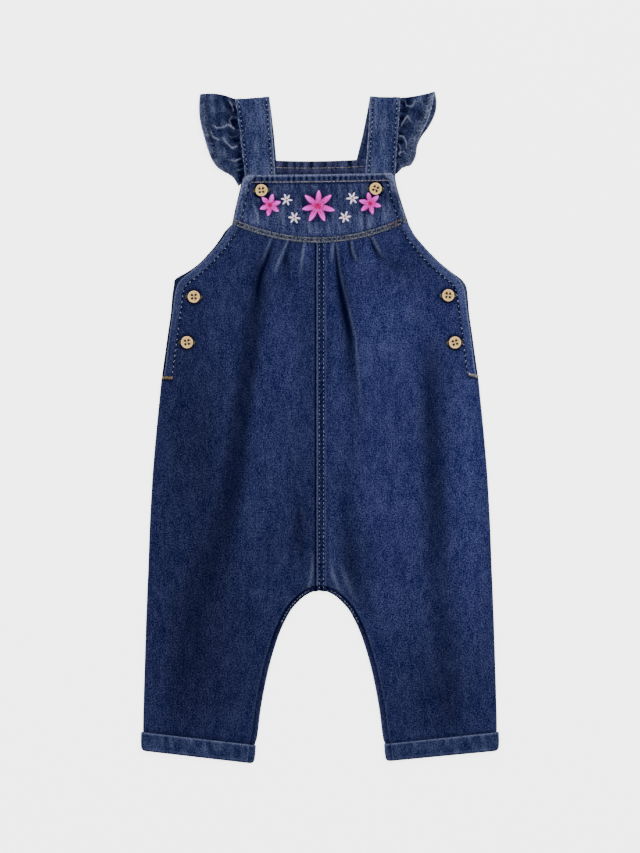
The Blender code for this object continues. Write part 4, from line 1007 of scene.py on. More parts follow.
def make_ply_group():
    """Spun thread: fine uneven ply with a paler fuzz."""
    tree, take, result = open_group("spun_ply", "ShaderNodeTree", (
        ("Place", "Vector"), ("Thread", "Color"), ("Fuzz", "Color")),
        (("Color", "Color"), ("Height", "Float")))
    place = stretched(tree, take["Place"], (1000,) * 3)
    patch = noise(tree, place, 0.85, 2, 0.6)
    fibre = noise(tree, place, 5, 1)
    share = calc(tree, "MULTIPLY_ADD", patch, 3.4, -1.3)
    share = add(tree, "ShaderNodeClamp", {0: share})
    feed(tree, result, {"Color": blend(tree, share, take["Thread"], take["Fuzz"]),
                        "Height": fibre})
    return tree


def new_material(name):
    """A material with its node tree and shader."""
    made = bpy.data.materials.new(name)
    made.use_nodes = True
    return made, made.node_tree, made.node_tree.nodes["Principled BSDF"]


def denim_finish(name, dark, light, pale, shade, fleck, slub, cloud):
    """A denim cloth material with its own dye colours, and pale and shade colours for its wear,
    painted highlight and painted shade.
    """
    made, tree, shader = new_material(name)
    group = add(tree, "ShaderNodeGroup", node_tree=WEAVE)
    cloth = add(tree, "ShaderNodeUVMap", uv_map="cloth")
    feed(tree, group, {
        "Cloth": cloth, "Dark": (*dark, 1), "Light": (*light, 1), "Pale": (*pale, 1),
        "Shade": (*shade, 1), "Fleck": fleck, "Slub": slub, "Cloud": cloud})
    # Per point: wear with painted highlights, painted shade, and how light the colour is made
    for label in ("Wear", "Deep", "Fade"):
        layer = add(tree, "ShaderNodeAttribute", attribute_name=label.lower())
        feed(tree, group, {label: layer.outputs["Fac"]})
    normal = bumped(tree, group.outputs["Height"], 0.55, 0.00022)
    feed(tree, shader, {
        "Base Color": group.outputs["Color"], "Roughness": group.outputs["Roughness"],
        "Normal": normal, "Specular IOR Level": 0.02, "Sheen Weight": 0.005,
        "Sheen Roughness": 0.6})
    return made


def thread_finish(name, thread, fuzz, roughness=0.6, sheen=0.05, gloss=0.15):
    """A sewing or embroidery thread material."""
    made, tree, shader = new_material(name)
    group = add(tree, "ShaderNodeGroup", node_tree=PLY)
    place = add(tree, "ShaderNodeTexCoord")
    feed(tree, group, {"Place": place.outputs["Object"], "Thread": (*thread, 1),
                       "Fuzz": (*fuzz, 1)})
    feed(tree, shader, {
        "Base Color": group.outputs["Color"], "Normal": bumped(tree, group.outputs["Height"], 0.4),
        "Roughness": roughness, "Specular IOR Level": gloss, "Sheen Weight": sheen})
    return made


def petal_finish(name, heart, petal, tip):
    """Satin-stitched petals, deeper in colour at the heart and paler at the tip."""
    made, tree, shader = new_material(name)
    along = add(tree, "ShaderNodeAttribute", attribute_name="along")
    place = add(tree, "ShaderNodeTexCoord")
    ramp = add(tree, "ShaderNodeValToRGB", {"Fac": along.outputs["Fac"]})
    stops = ramp.color_ramp.elements
    stops[0].position, stops[0].color = 0.2, (*heart, 1)
    stops[1].position, stops[1].color = 0.98, (*tip, 1)
    middle = stops.new(0.52)
    middle.color = (*petal, 1)
    group = add(tree, "ShaderNodeGroup", node_tree=PLY)
    feed(tree, group, {"Place": place.outputs["Object"], "Thread": ramp,
                       "Fuzz": blend(tree, 0.5, ramp, (*tip, 1))})
    feed(tree, shader, {
        "Base Color": group.outputs["Color"], "Normal": bumped(tree, group.outputs["Height"], 0.3),
        "Roughness": 0.55, "Specular IOR Level": 0.06})
    return made


def wood_finish(name, dark, light):
    """Pale wood with fine uneven grain across each button, plus painted highlight and shade."""
    made, tree, shader = new_material(name)
    place = add(tree, "ShaderNodeTexCoord").outputs["Object"]
    laid = add(tree, "ShaderNodeMapping",
               {"Vector": place, "Rotation": (0, 0, 0.4), "Scale": (260, 1900, 700)})
    grain = noise(tree, laid, 1, 4, 0.6)
    patch = noise(tree, place, 420)
    share = calc(tree, "MULTIPLY_ADD", grain, 1.5, -0.55)
    share = calc(tree, "MULTIPLY_ADD", patch, 0.6, share)
    # The tone carries the painted highlight on the rim and the painted shade in the holes
    tone = add(tree, "ShaderNodeAttribute", attribute_name="tone")
    share = calc(tree, "ADD", tone.outputs["Fac"], share)
    share = add(tree, "ShaderNodeClamp", {0: share})
    normal = bumped(tree, grain, 0.25)
    feed(tree, shader, {
        "Base Color": blend(tree, share, (*dark, 1), (*light, 1)), "Normal": normal,
        "Roughness": calc(tree, "MULTIPLY_ADD", grain, 0.25, 0.4), "Specular IOR Level": 0.25})
    return made


def lay_out(tree, shape, finish, result):
    """Give a tree's shape smooth faces, real points and its material, as the tree's result."""
    smooth = add(tree, "GeometryNodeSetShadeSmooth", {"Geometry": shape})
    real = add(tree, "GeometryNodeRealizeInstances", {"Geometry": smooth})
    painted = add(tree, "GeometryNodeSetMaterial", {"Geometry": real, "Material": finish})
    feed(tree, result, {0: painted})
    return tree


def make_stitch_tree():
    """A row of stitches along every path of a mesh."""
    tree, take, result = open_group("stitch_rows", "GeometryNodeTree", (
        ("Paths", "Geometry"), ("Pitch", "Float", 0.0034), ("Stitch", "Float", 0.0026),
        ("Thread", "Float", 0.0003), ("Rise", "Float", 0.0002), ("Uneven", "Float", 0.1),
        ("Seed", "Int", 1), ("Finish", "Material")), (("Stitches", "Geometry"),))
    half = calc(tree, "MULTIPLY", take["Stitch"], 0.5)
    back = calc(tree, "MULTIPLY", half, -1)
    low = calc(tree, "MULTIPLY", take["Rise"], -1.2)
    start = add(tree, "ShaderNodeCombineXYZ", {0: back, 2: low})
    top = add(tree, "ShaderNodeCombineXYZ", {2: calc(tree, "MULTIPLY", take["Rise"], 2.6)})
    end = add(tree, "ShaderNodeCombineXYZ", {0: half, 2: low})
    arch = add(tree, "GeometryNodeCurveQuadraticBezier",
               {"Resolution": 4, "Start": start, "Middle": top, "End": end})
    ring = add(tree, "GeometryNodeCurvePrimitiveCircle", {"Resolution": 6, "Radius": take["Thread"]})
    stitch = add(tree, "GeometryNodeCurveToMesh",
                 {"Curve": arch, "Profile Curve": ring, "Fill Caps": True})
    path = add(tree, "GeometryNodeMeshToCurve", {"Mesh": take["Paths"]})
    points = add(tree, "GeometryNodeCurveToPoints", {"Curve": path, "Length": take["Pitch"]},
                 mode="LENGTH")
    tangent = points.outputs["Tangent"]
    heading = add(tree, "FunctionNodeAlignRotationToVector", {"Vector": tangent}, axis="X",
                  pivot_axis="Z")
    tilt = add(tree, "FunctionNodeAlignRotationToVector", {"Rotation": heading, "Vector": tangent},
               axis="X")
    narrow = calc(tree, "SUBTRACT", 1, take["Uneven"])
    wide = calc(tree, "ADD", 1, take["Uneven"])
    size = add(tree, "FunctionNodeRandomValue", {2: narrow, 3: wide, "Seed": take["Seed"]},
               data_type="FLOAT").outputs[1]
    turned = calc(tree, "MULTIPLY", take["Uneven"], 0.7)
    swing = add(tree, "FunctionNodeRandomValue",
                {2: calc(tree, "MULTIPLY", turned, -1), 3: turned,
                 "Seed": calc(tree, "ADD", take["Seed"], 7)}, data_type="FLOAT").outputs[1]
    turn = add(tree, "FunctionNodeAxisAngleToRotation", {"Axis": (0, 0, 1), "Angle": swing})
    laid = add(tree, "FunctionNodeRotateRotation", {"Rotation": tilt, "Rotate By": turn},
               rotation_space="LOCAL")
    spread = add(tree, "ShaderNodeCombineXYZ", {0: size, 1: 1, 2: 1})
    sewn = add(tree, "GeometryNodeInstanceOnPoints",
               {"Points": points, "Instance": stitch, "Rotation": laid, "Scale": spread})
    return lay_out(tree, sewn, take["Finish"], result)


def make_strand_tree():
    """A round thread along every path of a mesh, as thick as its gauge says."""
    tree, take, result = open_group("thread_strands", "GeometryNodeTree", (
        ("Paths", "Geometry"), ("Thread", "Float", 0.0003), ("Finish", "Material")),
        (("Strands", "Geometry"),))
    gauge = add(tree, "GeometryNodeInputNamedAttribute", {"Name": "gauge"}, data_type="FLOAT")
    path = add(tree, "GeometryNodeMeshToCurve", {"Mesh": take["Paths"]})
    ring = add(tree, "GeometryNodeCurvePrimitiveCircle", {"Resolution": 6, "Radius": take["Thread"]})
    strand = add(tree, "GeometryNodeCurveToMesh",
                 {"Curve": path, "Profile Curve": ring, "Scale": gauge, "Fill Caps": True})
    return lay_out(tree, strand, take["Finish"], result)


def put(name, data):
    """A new object in the scene."""
    made = bpy.data.objects.new(name, data)
    bpy.context.scene.collection.objects.link(made)
    return made


def raw_mesh(name, points, edges, faces):
    """A mesh from points in millimetres."""
    mesh = bpy.data.meshes.new(name)
    mesh.from_pydata([tuple(c * MM for c in point) for point in points], edges, faces)
    return mesh


def evaluated_mesh(source):
    """The plain mesh that an object's modifiers make of it."""
    bpy.context.view_layer.update()
    evaluated = source.evaluated_get(bpy.context.evaluated_depsgraph_get())
    return bpy.data.meshes.new_from_object(evaluated)


def path_mesh(name, paths, layers):
    """A mesh of open paths, with layers of values per point."""
    edges = []
    first = 0
    for path in paths:
        edges += [(first + step, first + step + 1) for step in range(len(path) - 1)]
        first += len(path)
    mesh = raw_mesh(name, np.concatenate(paths), edges, [])
    for label, values in layers.items():
        layer = mesh.attributes.new(label, "FLOAT", "POINT")
        layer.data.foreach_set("value", np.concatenate(values).astype(np.float32))
    return mesh


def grown(name, paths, tree, settings, layers):
    """The piece that a node tree grows on paths, as a plain mesh."""
    seed_object = put(name + "_paths", path_mesh(name, paths, layers))
    modifier = seed_object.modifiers.new("sewing", "NODES")
    modifier.node_group = tree
    for socket in tree.interface.items_tree:
        if socket.in_out == "INPUT" and socket.name in settings:
            modifier[socket.identifier] = settings[socket.name]
    made = evaluated_mesh(seed_object)
    bpy.data.objects.remove(seed_object, do_unlink=True)
    made.name = name
    return link_piece(name, made)


def link_piece(name, mesh):
    """Put a finished mesh in the scene, riding on the garment."""
    piece = put(name, mesh)
    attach(piece, "root")
    return piece


def sew(name, paths, thread, pitch=3.4, stitch=2.6, width=0.3, rise=0.16, uneven=0.1, seed=1):
    """Rows of stitches along paths, as one piece."""
    grown(name, paths, STITCH_TREE, {
        "Pitch": pitch * MM, "Stitch": stitch * MM, "Thread": width * MM, "Rise": rise * MM,
        "Uneven": uneven, "Seed": seed, "Finish": THREADS[thread]}, {})


def sew_dotted(name, paths, seed, pitch=2.5, fleck_pitch=4.1, rise=0.16):
    """A row of dark stitches with short pale flecks at uneven places on it."""
    # Dark thread that also stands in for the shade along the stitch line: partly painted shade
    sew(name, paths, "navy", pitch, 0.92 * pitch, 0.5, rise, seed=seed)
    lifted = [path + (0, 0, 0.3) for path in paths]
    sew(name + "_flecks", lifted, "ash", fleck_pitch, 1.2, 0.36, rise, 0.55, seed + 40)


def strands(name, paths, thread, width, alongs=None):
    """Threads along paths, as one piece."""
    layers = {"gauge": [np.ones(len(path)) for path in paths],
              "along": alongs or [np.linspace(0, 1, len(path)) for path in paths]}
    settings = {"Thread": width * MM, "Finish": THREADS[thread]}
    grown(name, paths, STRAND_TREE, settings, layers)


def wall_faces(rows, columns, closed):
    """Faces of a thin closed wall between an outer and an inner grid of points."""
    steps = columns if closed else columns - 1
    row = np.arange(rows - 1)[:, None] * columns
    here = np.arange(steps)[None, :]
    there = (here + 1) % columns
    outer = np.stack([row + here, row + columns + here, row + columns + there, row + there], axis=2)
    outer = outer.reshape(-1, 4)
    layer = rows * columns
    last = (rows - 1) * columns
    here, there = here[0], there[0]
    rims = [np.stack([here, there, there + layer, here + layer], axis=1),
            np.stack([there + last, here + last, here + last + layer, there + last + layer], axis=1)]
    if not closed:
        up = np.arange(rows - 1) * columns
        down = up + columns
        end = columns - 1
        rims.append(np.stack([down, up, up + layer, down + layer], axis=1))
        rims.append(np.stack([up + end, down + end, down + end + layer, up + end + layer], axis=1))
    return np.concatenate([outer, outer[:, ::-1] + layer] + rims)


def cloth_piece(node, outer, inner, cloth, wear, deep, finish, slot="washed_denim", closed=False,
                fade=1):
    """A piece of cloth as a thin closed shell, with its weave's coordinates, its wear and painted
    highlights, its painted shade, and how light its colour is made.
    """
    rows, columns = outer.shape[:2]
    faces = wall_faces(rows, columns, closed)
    points = np.concatenate([outer.reshape(-1, 3), inner.reshape(-1, 3)]) * MM
    middle = rows // 2 * (columns if closed else columns - 1) + columns // 2
    a, b, c = (points[faces[middle][corner]] for corner in (0, 1, 2))
    outward = points[faces[middle][0]] - points[faces[middle][0] + rows * columns]
    if np.dot(np.cross(b - a, c - a), outward) < 0:
        faces = faces[:, ::-1]
    mesh = bpy.data.meshes.new(node + "_cloth")
    mesh.vertices.add(len(points))
    mesh.vertices.foreach_set("co", points.astype(np.float32).ravel())
    mesh.loops.add(faces.size)
    mesh.loops.foreach_set("vertex_index", faces.astype(np.int32).ravel())
    mesh.polygons.add(len(faces))
    mesh.polygons.foreach_set("loop_start", np.arange(0, faces.size, 4, dtype=np.int32))
    mesh.update(calc_edges=True)
    mesh.validate()
    layer = mesh.uv_layers.new(name="cloth")
    flat = np.concatenate([cloth.reshape(-1, 2)] * 2)
    corners = np.zeros(len(mesh.loops), np.int32)
    mesh.loops.foreach_get("vertex_index", corners)
    layer.data.foreach_set("uv", flat[corners].astype(np.float32).ravel())
    for label, values in (("wear", clamp(wear)), ("deep", clamp(deep)), ("fade", fade)):
        attribute = mesh.attributes.new(label, "FLOAT", "POINT")
        both = np.concatenate([np.broadcast_to(values, (rows, columns)).ravel()] * 2)
        attribute.data.foreach_set("value", both.astype(np.float32))
    mesh.shade_smooth()
    mesh.set_sharp_from_angle(angle=radians(CLOTH_CREASE_ANGLE))
    mesh.materials.append(DENIMS[finish])
    piece = link_piece(mesh.name, mesh)
    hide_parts(node)
    return piece


def flat_piece(node, x, y, top, under, wear, deep, finish, **more):
    """A piece of cloth over its plan, with the plan as its weave's coordinates."""
    outer = np.stack([x, y, top], axis=2)
    inner = np.stack([x, y, under], axis=2)
    return cloth_piece(node, outer, inner, outer[..., :2], wear, deep, finish, **more)


def half_grid(side, stations, shares, back=False, lap=0):
    """Plan points of one half; above the crotch a lap carries the inner edge past the centre."""
    columns_read = (column[:, None] for column in read_sections(HALF_SECTIONS, stations).T)
    outer_x, outer_y, inner_x, inner_y, sag, right_out, left_back, right_back = columns_read
    if side > 0:
        outer_x = outer_x + right_out
    if back:
        outer_x = outer_x + (right_back if side > 0 else left_back)
    inner_x = np.maximum(inner_x, 0) + (0 if back else SEAM_GAP / 2)
    width = outer_x - inner_x
    reach = np.where(stations[:, None] <= CROTCH_SECTION, 1 + lap / width, 1)
    u = shares[None, :] * reach
    held = np.minimum(u, 1)
    x = side * (outer_x - width * u)
    y = outer_y + (inner_y - outer_y) * held - sag * held * (1 - held)
    y = y + JOIN * inside(stations, 0, 0.5)[:, None]
    return x, y + lean(x, y)


def half_stations(spacing):
    """Row numbers for a front or back at an even spacing down the garment."""
    middle = (HALF_SECTIONS[:, 0:2] + HALF_SECTIONS[:, 2:4]) / 2
    return even_stations(middle * (0, 1), spacing)


def make_front(key, side):
    """A front and its leg; the right one's felled edge laps over the left one's."""
    lap = CENTRE_LAP if side > 0 else 0
    x, y = half_grid(side, half_stations(2), shares_across(PANEL_WIDTH, 1.7), lap=lap)
    height, wear, deep, fade, to_edge, closed = front_sewing(x, y, key)
    top = front_under(x, y) + CLOTH + height
    under = top - THIN_CLOTH - 0.5 * inside(to_edge, 0, 2.5) * closed
    if side > 0:
        to_edge = np.where(y > LAP_END, np.minimum(to_edge, x + CENTRE_LAP), to_edge)
    top -= rolled(to_edge)
    return flat_piece("front_" + key, x, y, top, np.minimum(under, top - 0.3), wear, deep, "denim",
                      slot="denim", fade=fade)


def make_back(key, side):
    """A back and its leg, flat where it rests, its stitch rows sunk in its outer face."""
    x, y = half_grid(side, half_stations(3), shares_across(PANEL_WIDTH, 3.2, 1.2), back=True)
    px, py = half_place(x, y, side)
    to_edge, edge_run = nearest_run(px, py, BACK_OUTLINES[side])
    to_arch, _ = nearest_on_path(px, py, INSEAM_OUTLINE)
    opening = ease(py, *OPENING_END)
    rise = back_rise(x, y)
    sunk = 0.2 * bump(to_edge, ARMHOLE_STITCH, 0.8) * opening
    sunk += 0.2 * bump(to_arch, INSEAM_STITCH, 0.8) * inside(py, -150, -140)
    body = ease(py, *CROTCH_BAND)
    for row in BACK_CENTRE_STITCHES:
        sunk += 0.2 * bump(x, row, 0.8) * body
    sunk += 0.25 * bump(x, BACK_DITCH, 0.7) * body
    edge = np.minimum(to_edge, to_arch)
    top = rise + CLOTH - rolled(edge) * 0.8
    under = rise + sunk + 0.3 * rolled(edge)
    wear = 0.3 * inside(to_edge, 0.1, 1) + 0.5 * inside(to_arch, 0, 1.3)
    wear += 0.3 * clamp(waves(edge_run, 6, 31)) * inside(to_edge, 4, 8)
    wear += 0.45 * bump(x, BACK_DITCH + 1.2, 0.7) * body
    shown = inside(to_edge, 3, 5) * opening
    wear += BACK_EDGE_WEAR[key] * shown
    # Painted shade on a back's edge where it shows past the front
    deep = BACK_EDGE_SHADE[key] * shown
    # Painted shade in the centre seam's ditch
    deep += 0.8 * bump(x, BACK_DITCH, 0.7) * body
    deep += 0.4 * clamp(swells(x, y, 40, 110, 32))
    return flat_piece("back_" + key, x, y, top, under, wear, deep, "denim", slot="denim")


def yoke_grid(sections, stations, shares):
    """Plan points of a yoke at given rows and shares across."""
    read = read_sections(sections, stations)
    left_x, right_x, end_y, drop = (column[:, None] for column in read.T)
    s = 2 * shares[None, :] - 1
    x = np.where(s < 0, left_x, right_x) * s
    y = end_y - drop * (1 - s * s)
    return x, y + lean(x, y)


def yoke_plan(sections, rows, columns):
    """Plan points of a yoke on an even grid."""
    stations = np.linspace(0, len(sections) - 1, rows)
    return yoke_grid(sections, stations, np.linspace(0, 1, columns + 1))


def hemmed_stations(sections, spacing):
    """Row numbers at an even spacing of heights, and closer together at a folded top edge."""
    depth = sections[0, 2] - sections[1, 2]
    roll = ROLL_STEPS / depth
    even = even_stations(sections[:, 2:3], spacing)
    return np.concatenate([roll, even[even > roll[-1] + 0.3 / depth]])


def make_front_yoke():
    """The hemmed front yoke, over the ends of the straps."""
    stations = hemmed_stations(YOKE_SECTIONS, 0.7)
    x, y = yoke_grid(YOKE_SECTIONS, stations, shares_across(PANEL_WIDTH, 1.1))
    height, wear, deep, edge = yoke_sewing(x, y)
    under = yoke_under(x, y)
    top = under + YOKE_CLOTH + height - rolled(edge)
    return flat_piece("front_yoke", x, y, top, np.minimum(under, top - 0.4), wear, deep,
                      "yoke_denim")


def make_back_yoke():
    """The back yoke, seen between the straps, flat on what the garment lies on."""
    stations = hemmed_stations(BACK_YOKE_SECTIONS, 1.2)
    x, y = yoke_grid(BACK_YOKE_SECTIONS, stations, shares_across(PANEL_WIDTH, 2, 1))
    to_top, run = nearest_run(x, y, BACK_YOKE_OUTLINES[0])
    to_seam, _ = nearest_on_path(x, y, BACK_YOKE_OUTLINES[1])
    pinch = waves(run, 7, 41)
    height = 0.22 * pinch * bump(to_top, 4, 3.5)
    height -= 0.24 * bump(to_top, NECK_STITCH, 0.7)
    height += 0.12 * swells(x, y, 9, 30, 42)
    top = CLOTH + 0.1 + height - rolled(to_top)
    sunk = 0.2 * bump(to_top, NECK_STITCH, 0.8) + 0.3 * rolled(to_top)
    for row in YOKE_SEAM_STITCHES:
        sunk += 0.2 * bump(to_seam, row, 0.8)
    wear = 0.55 * inside(to_top, 0.1, 1.2) + 0.3 * clamp(pinch)
    deep = 0.7 * clamp(-pinch) * inside(to_top, 6, 9)
    deep += 0.25 + 0.35 * inside(y, 222, 228)
    return flat_piece("back_yoke", x, y, top, np.minimum(sunk, top - 0.3), wear, deep,
                      "back_yoke_denim")


def read_straight(rows, stations):
    """Read a table at fractional row numbers, straight between its rows."""
    rows = np.asarray(rows, float)
    return np.array([np.interp(stations, np.arange(len(rows)), column) for column in rows.T]).T


def back_rows_of(edges):
    """Rows of a band's back, with the heights of its two edges."""
    return np.pad(edges, ((0, 0), (0, 2)), constant_values=BACK_BAND_HEIGHT)


def band_points(edge_rows, shares):
    """Middle points of a band between its two edges: rows of x, y, x, y, z, z."""
    start = edge_rows[:, None, (0, 1, 4)]
    end = edge_rows[:, None, (2, 3, 5)]
    return start + (end - start) * shares[None, :, None]


def shoulder_turn(last_front, first_back):
    """Rows that carry a band over the shoulder in a half circle, from its front to its back."""
    angles = np.linspace(pi / 2, -pi / 2, SHOULDER_STEPS + 1)[1:-1, None]
    rows = np.repeat([(last_front + first_back) / 2], len(angles), axis=0)
    radius = (last_front[:, 2] - first_back[:, 2]) / 2
    rows[..., 1] += radius * np.cos(angles)
    rows[..., 2] += radius * np.sin(angles)
    return rows


def band_walls(middle, height):
    """Outer and inner faces of a band round its middle points, the outer one raised."""
    along = np.gradient(middle, axis=0)
    across = np.gradient(middle, axis=1)
    normal = np.cross(along, across)
    normal /= np.linalg.norm(normal, axis=2, keepdims=True)
    if normal[0, :, 2].mean() < 0:
        normal = -normal
    outer = middle + normal * (BAND_CLOTH / 2 + height)[..., None]
    inner = middle - normal * (BAND_CLOTH / 2 - 0.1)
    outer[..., 2] = np.maximum(outer[..., 2], 0)
    inner[..., 2] = np.maximum(inner[..., 2], 0.05)
    return outer, inner


def band_frame(front, back, shares):
    """A band's middle points, front and back joined, length so far, width and places across."""
    middle = np.concatenate([front, shoulder_turn(front[-1], back[0]), back])
    steps = np.linalg.norm(np.diff(middle.mean(axis=1), axis=0), axis=1)
    run = np.concatenate([[0], np.cumsum(steps)])[:, None]
    width = np.linalg.norm(middle[:, -1] - middle[:, 0], axis=1)[:, None]
    return middle, run, width, shares[None, :] * width


def band_piece(node, middle, height, run, across, shares, front_rows, wear, deep, finish):
    """A band's cloth, with its face kept for the rows of stitches on it."""
    outer, inner = band_walls(middle, height)
    BANDS[node] = (outer, shares, front_rows / len(outer))
    cloth = np.stack([across, run + 0 * across], axis=2)
    return cloth_piece(node, outer, inner, cloth, wear, deep, finish)


def make_strap(key):
    """A strap from behind the front yoke over the shoulder to the back yoke."""
    fronts = np.array(STRAP_FRONTS[key])[:, (0, 1, 2, 3, 4, 4)]
    backs = back_rows_of(STRAP_BACKS[key])
    backs[-1, (1, 3)] -= STRAP_JOIN
    shares = shares_across(28, 1.2, 0.6, 6)
    front = band_points(read_sections(fronts, even_stations(fronts[:, :2], 1.5)), shares)
    back = band_points(read_straight(backs, even_stations(backs[:, :2], 1.5)), shares)
    middle, run, width, across = band_frame(front, back, shares)
    to_edge = np.minimum(across, width - across)
    seed = STRAP_SEEDS[key]
    rope = waves(run + 0.6 * across, 5, seed)
    height = 0.24 * inside(to_edge, 5, 7) - 0.24 * bump(to_edge, STRAP_STITCH, 0.6)
    height += 0.13 * rope * bump(to_edge, 2.4, 2.6)
    height += 0.14 * swells(across + 0 * run, run, 14, 18, seed + 1)
    height -= rolled(to_edge) * 0.9
    # Paler edges and rope crests: wear, with painted highlight on the edges
    wear = 0.9 * inside(to_edge, 0.1, 1.2) + 0.28 * clamp(rope) * inside(to_edge, 3, 5)
    wear += 0.12 * clamp(swells(across, run, 9, 24, seed + 2))
    # Painted shade beside the stitch rows
    deep = 0.4 * bump(to_edge, STRAP_STITCH + 1.1, 0.7)
    deep += 0.15 * clamp(-swells(across, run, 9, 24, seed + 2))
    # Painted shade on the strap's back, past the shoulder
    deep[len(front) + 6:] += 0.5
    return band_piece("strap_" + key, middle, height, run, across, shares, len(front), wear, deep,
                      "strap_denim")


def tucked(rows):
    """A ruffle's rows with the seam edge carried on into the strap's edge."""
    along = rows[:, 0:2] - rows[:, 2:4]
    reach = np.linalg.norm(along, axis=1, keepdims=True)
    rows[:, 0:2] += RUFFLE_JOIN * along / np.maximum(reach, RUFFLE_JOIN)
    return rows


def make_ruffle(key):
    """A gathered ruffle on a strap's outer edge, waved more towards its hem."""
    fronts = tucked(np.array(RUFFLE_FRONTS[key]))
    backs = tucked(back_rows_of(RUFFLE_BACKS[key]))
    shares = shares_across(32, 0.55, 0.5, 7)
    front_rows = even_stations((fronts[:, :2] + fronts[:, 2:4]) / 2, 0.5)
    back_rows = even_stations((backs[:, :2] + backs[:, 2:4]) / 2, 1.2)
    places = front_rows / (len(fronts) - 1)
    back_places = back_rows / (len(backs) - 1)
    front = band_points(read_sections(fronts, front_rows), shares)
    back = band_points(read_sections(backs, back_rows), shares)
    towards_hem = shares[None, :]
    wave_share = WAVE_AT_SEAM + (1 - WAVE_AT_SEAM) * towards_hem
    for place, lift, width in RUFFLE_WAVES[key]:
        wave = lift * np.exp(-((places - place) / width) ** 2) * ease(places, *WAVES_END)
        front[..., 2] += wave[:, None] * wave_share
    bow = RUFFLE_BOW[key] * 4 * towards_hem * (1 - towards_hem)
    front[..., 1] += bow * ease(places, *BOW_BAND)[:, None]
    back[..., 1] += bow * ease(1 - back_places, *BOW_BAND)[:, None]
    middle, run, width, across = band_frame(front, back, shares)
    to_hem = width - across
    facing = np.zeros(middle.shape[:2])
    facing[:len(front)] = ease(places, *WAVES_END)[:, None]
    seed = RUFFLE_SEEDS[key]
    ridges = fold_height(middle[..., 0], middle[..., 1], RUFFLE_CREASES[key])
    pulled = waves(run + 0.3 * across, 4.6, seed) * inside(across, 1, 10)
    rope = waves(run, 5.5, seed + 1)
    height = (1.05 * ridges + 0.35 * pulled) * facing
    height += 0.3 * pulled * (1 - facing)
    height += 0.24 * inside(to_hem, RUFFLE_HEM_STITCH - 0.4, RUFFLE_HEM_STITCH + 1)
    height -= 0.22 * bump(to_hem, RUFFLE_HEM_STITCH, 0.6)
    height += 0.12 * rope * inside(to_hem, 5, 7)
    height -= rolled(to_hem) * 0.9
    crest = clamp(ridges) * facing
    near_strap = inside(across / np.maximum(width, 1), 0.14, 0.5)
    # Paler at the hem and on the gathers' crests: wear and painted highlight
    wear = inside(to_hem, 0.2, 1.5) + crest ** 1.5
    wear += RUFFLE_HEM_WEAR[key] * inside(to_hem, 6, 9) * facing
    wear += 0.25 * clamp(rope) * inside(to_hem, 5, 7)
    wear += 0.2 * clamp(swells(across, run, 9, 12, seed + 2))
    # Painted shade in the gathers near the strap, less on their crests
    deep = 0.85 * near_strap * (1 - crest) * (0.65 + 0.35 * np.clip(-pulled * 2, -1, 1))
    deep += 0.4 * clamp(-swells(across, run, 9, 12, seed + 2))
    # Painted shade beside the hem's stitch row
    deep += 0.4 * bump(to_hem, RUFFLE_HEM_STITCH + 1.1, 0.8)
    # Painted shadow at the ruffle's foot by the yoke
    foot = inside(middle[..., 1], 221, 229) * facing
    deep += 0.5 * foot * inside(across, 1.5, 4)
    wear = wear * (1 - 0.5 * foot)
    return band_piece("ruffle_" + key, middle, height, run, across, shares, len(front), wear, deep,
                      "ruffle_denim")


def rounded_ring(left, right, bottom, top, corner):
    """Points round a flat box with round corners, clockwise from the start of its top."""
    left, right, low, high = left + corner, right - corner, bottom + corner, top - corner
    front = [(x, top) for x in np.linspace(left, right, CUFF_FRONT_STEPS + 1)]
    back = [(x, bottom) for x in np.linspace(right, left, CUFF_BACK_STEPS + 1)]
    arcs = []
    for x, z, start in ((right, high, 90), (right, low, 0), (left, low, -90), (left, high, 180)):
        angles = np.radians(np.linspace(start, start - 90, CUFF_CORNER_POINTS))
        arcs.append([(x + corner * cos(angle), z + corner * sin(angle)) for angle in angles])
    return np.array(front + arcs[0][1:] + arcs[1] + back[1:] + arcs[2][1:] + arcs[3][:-1])


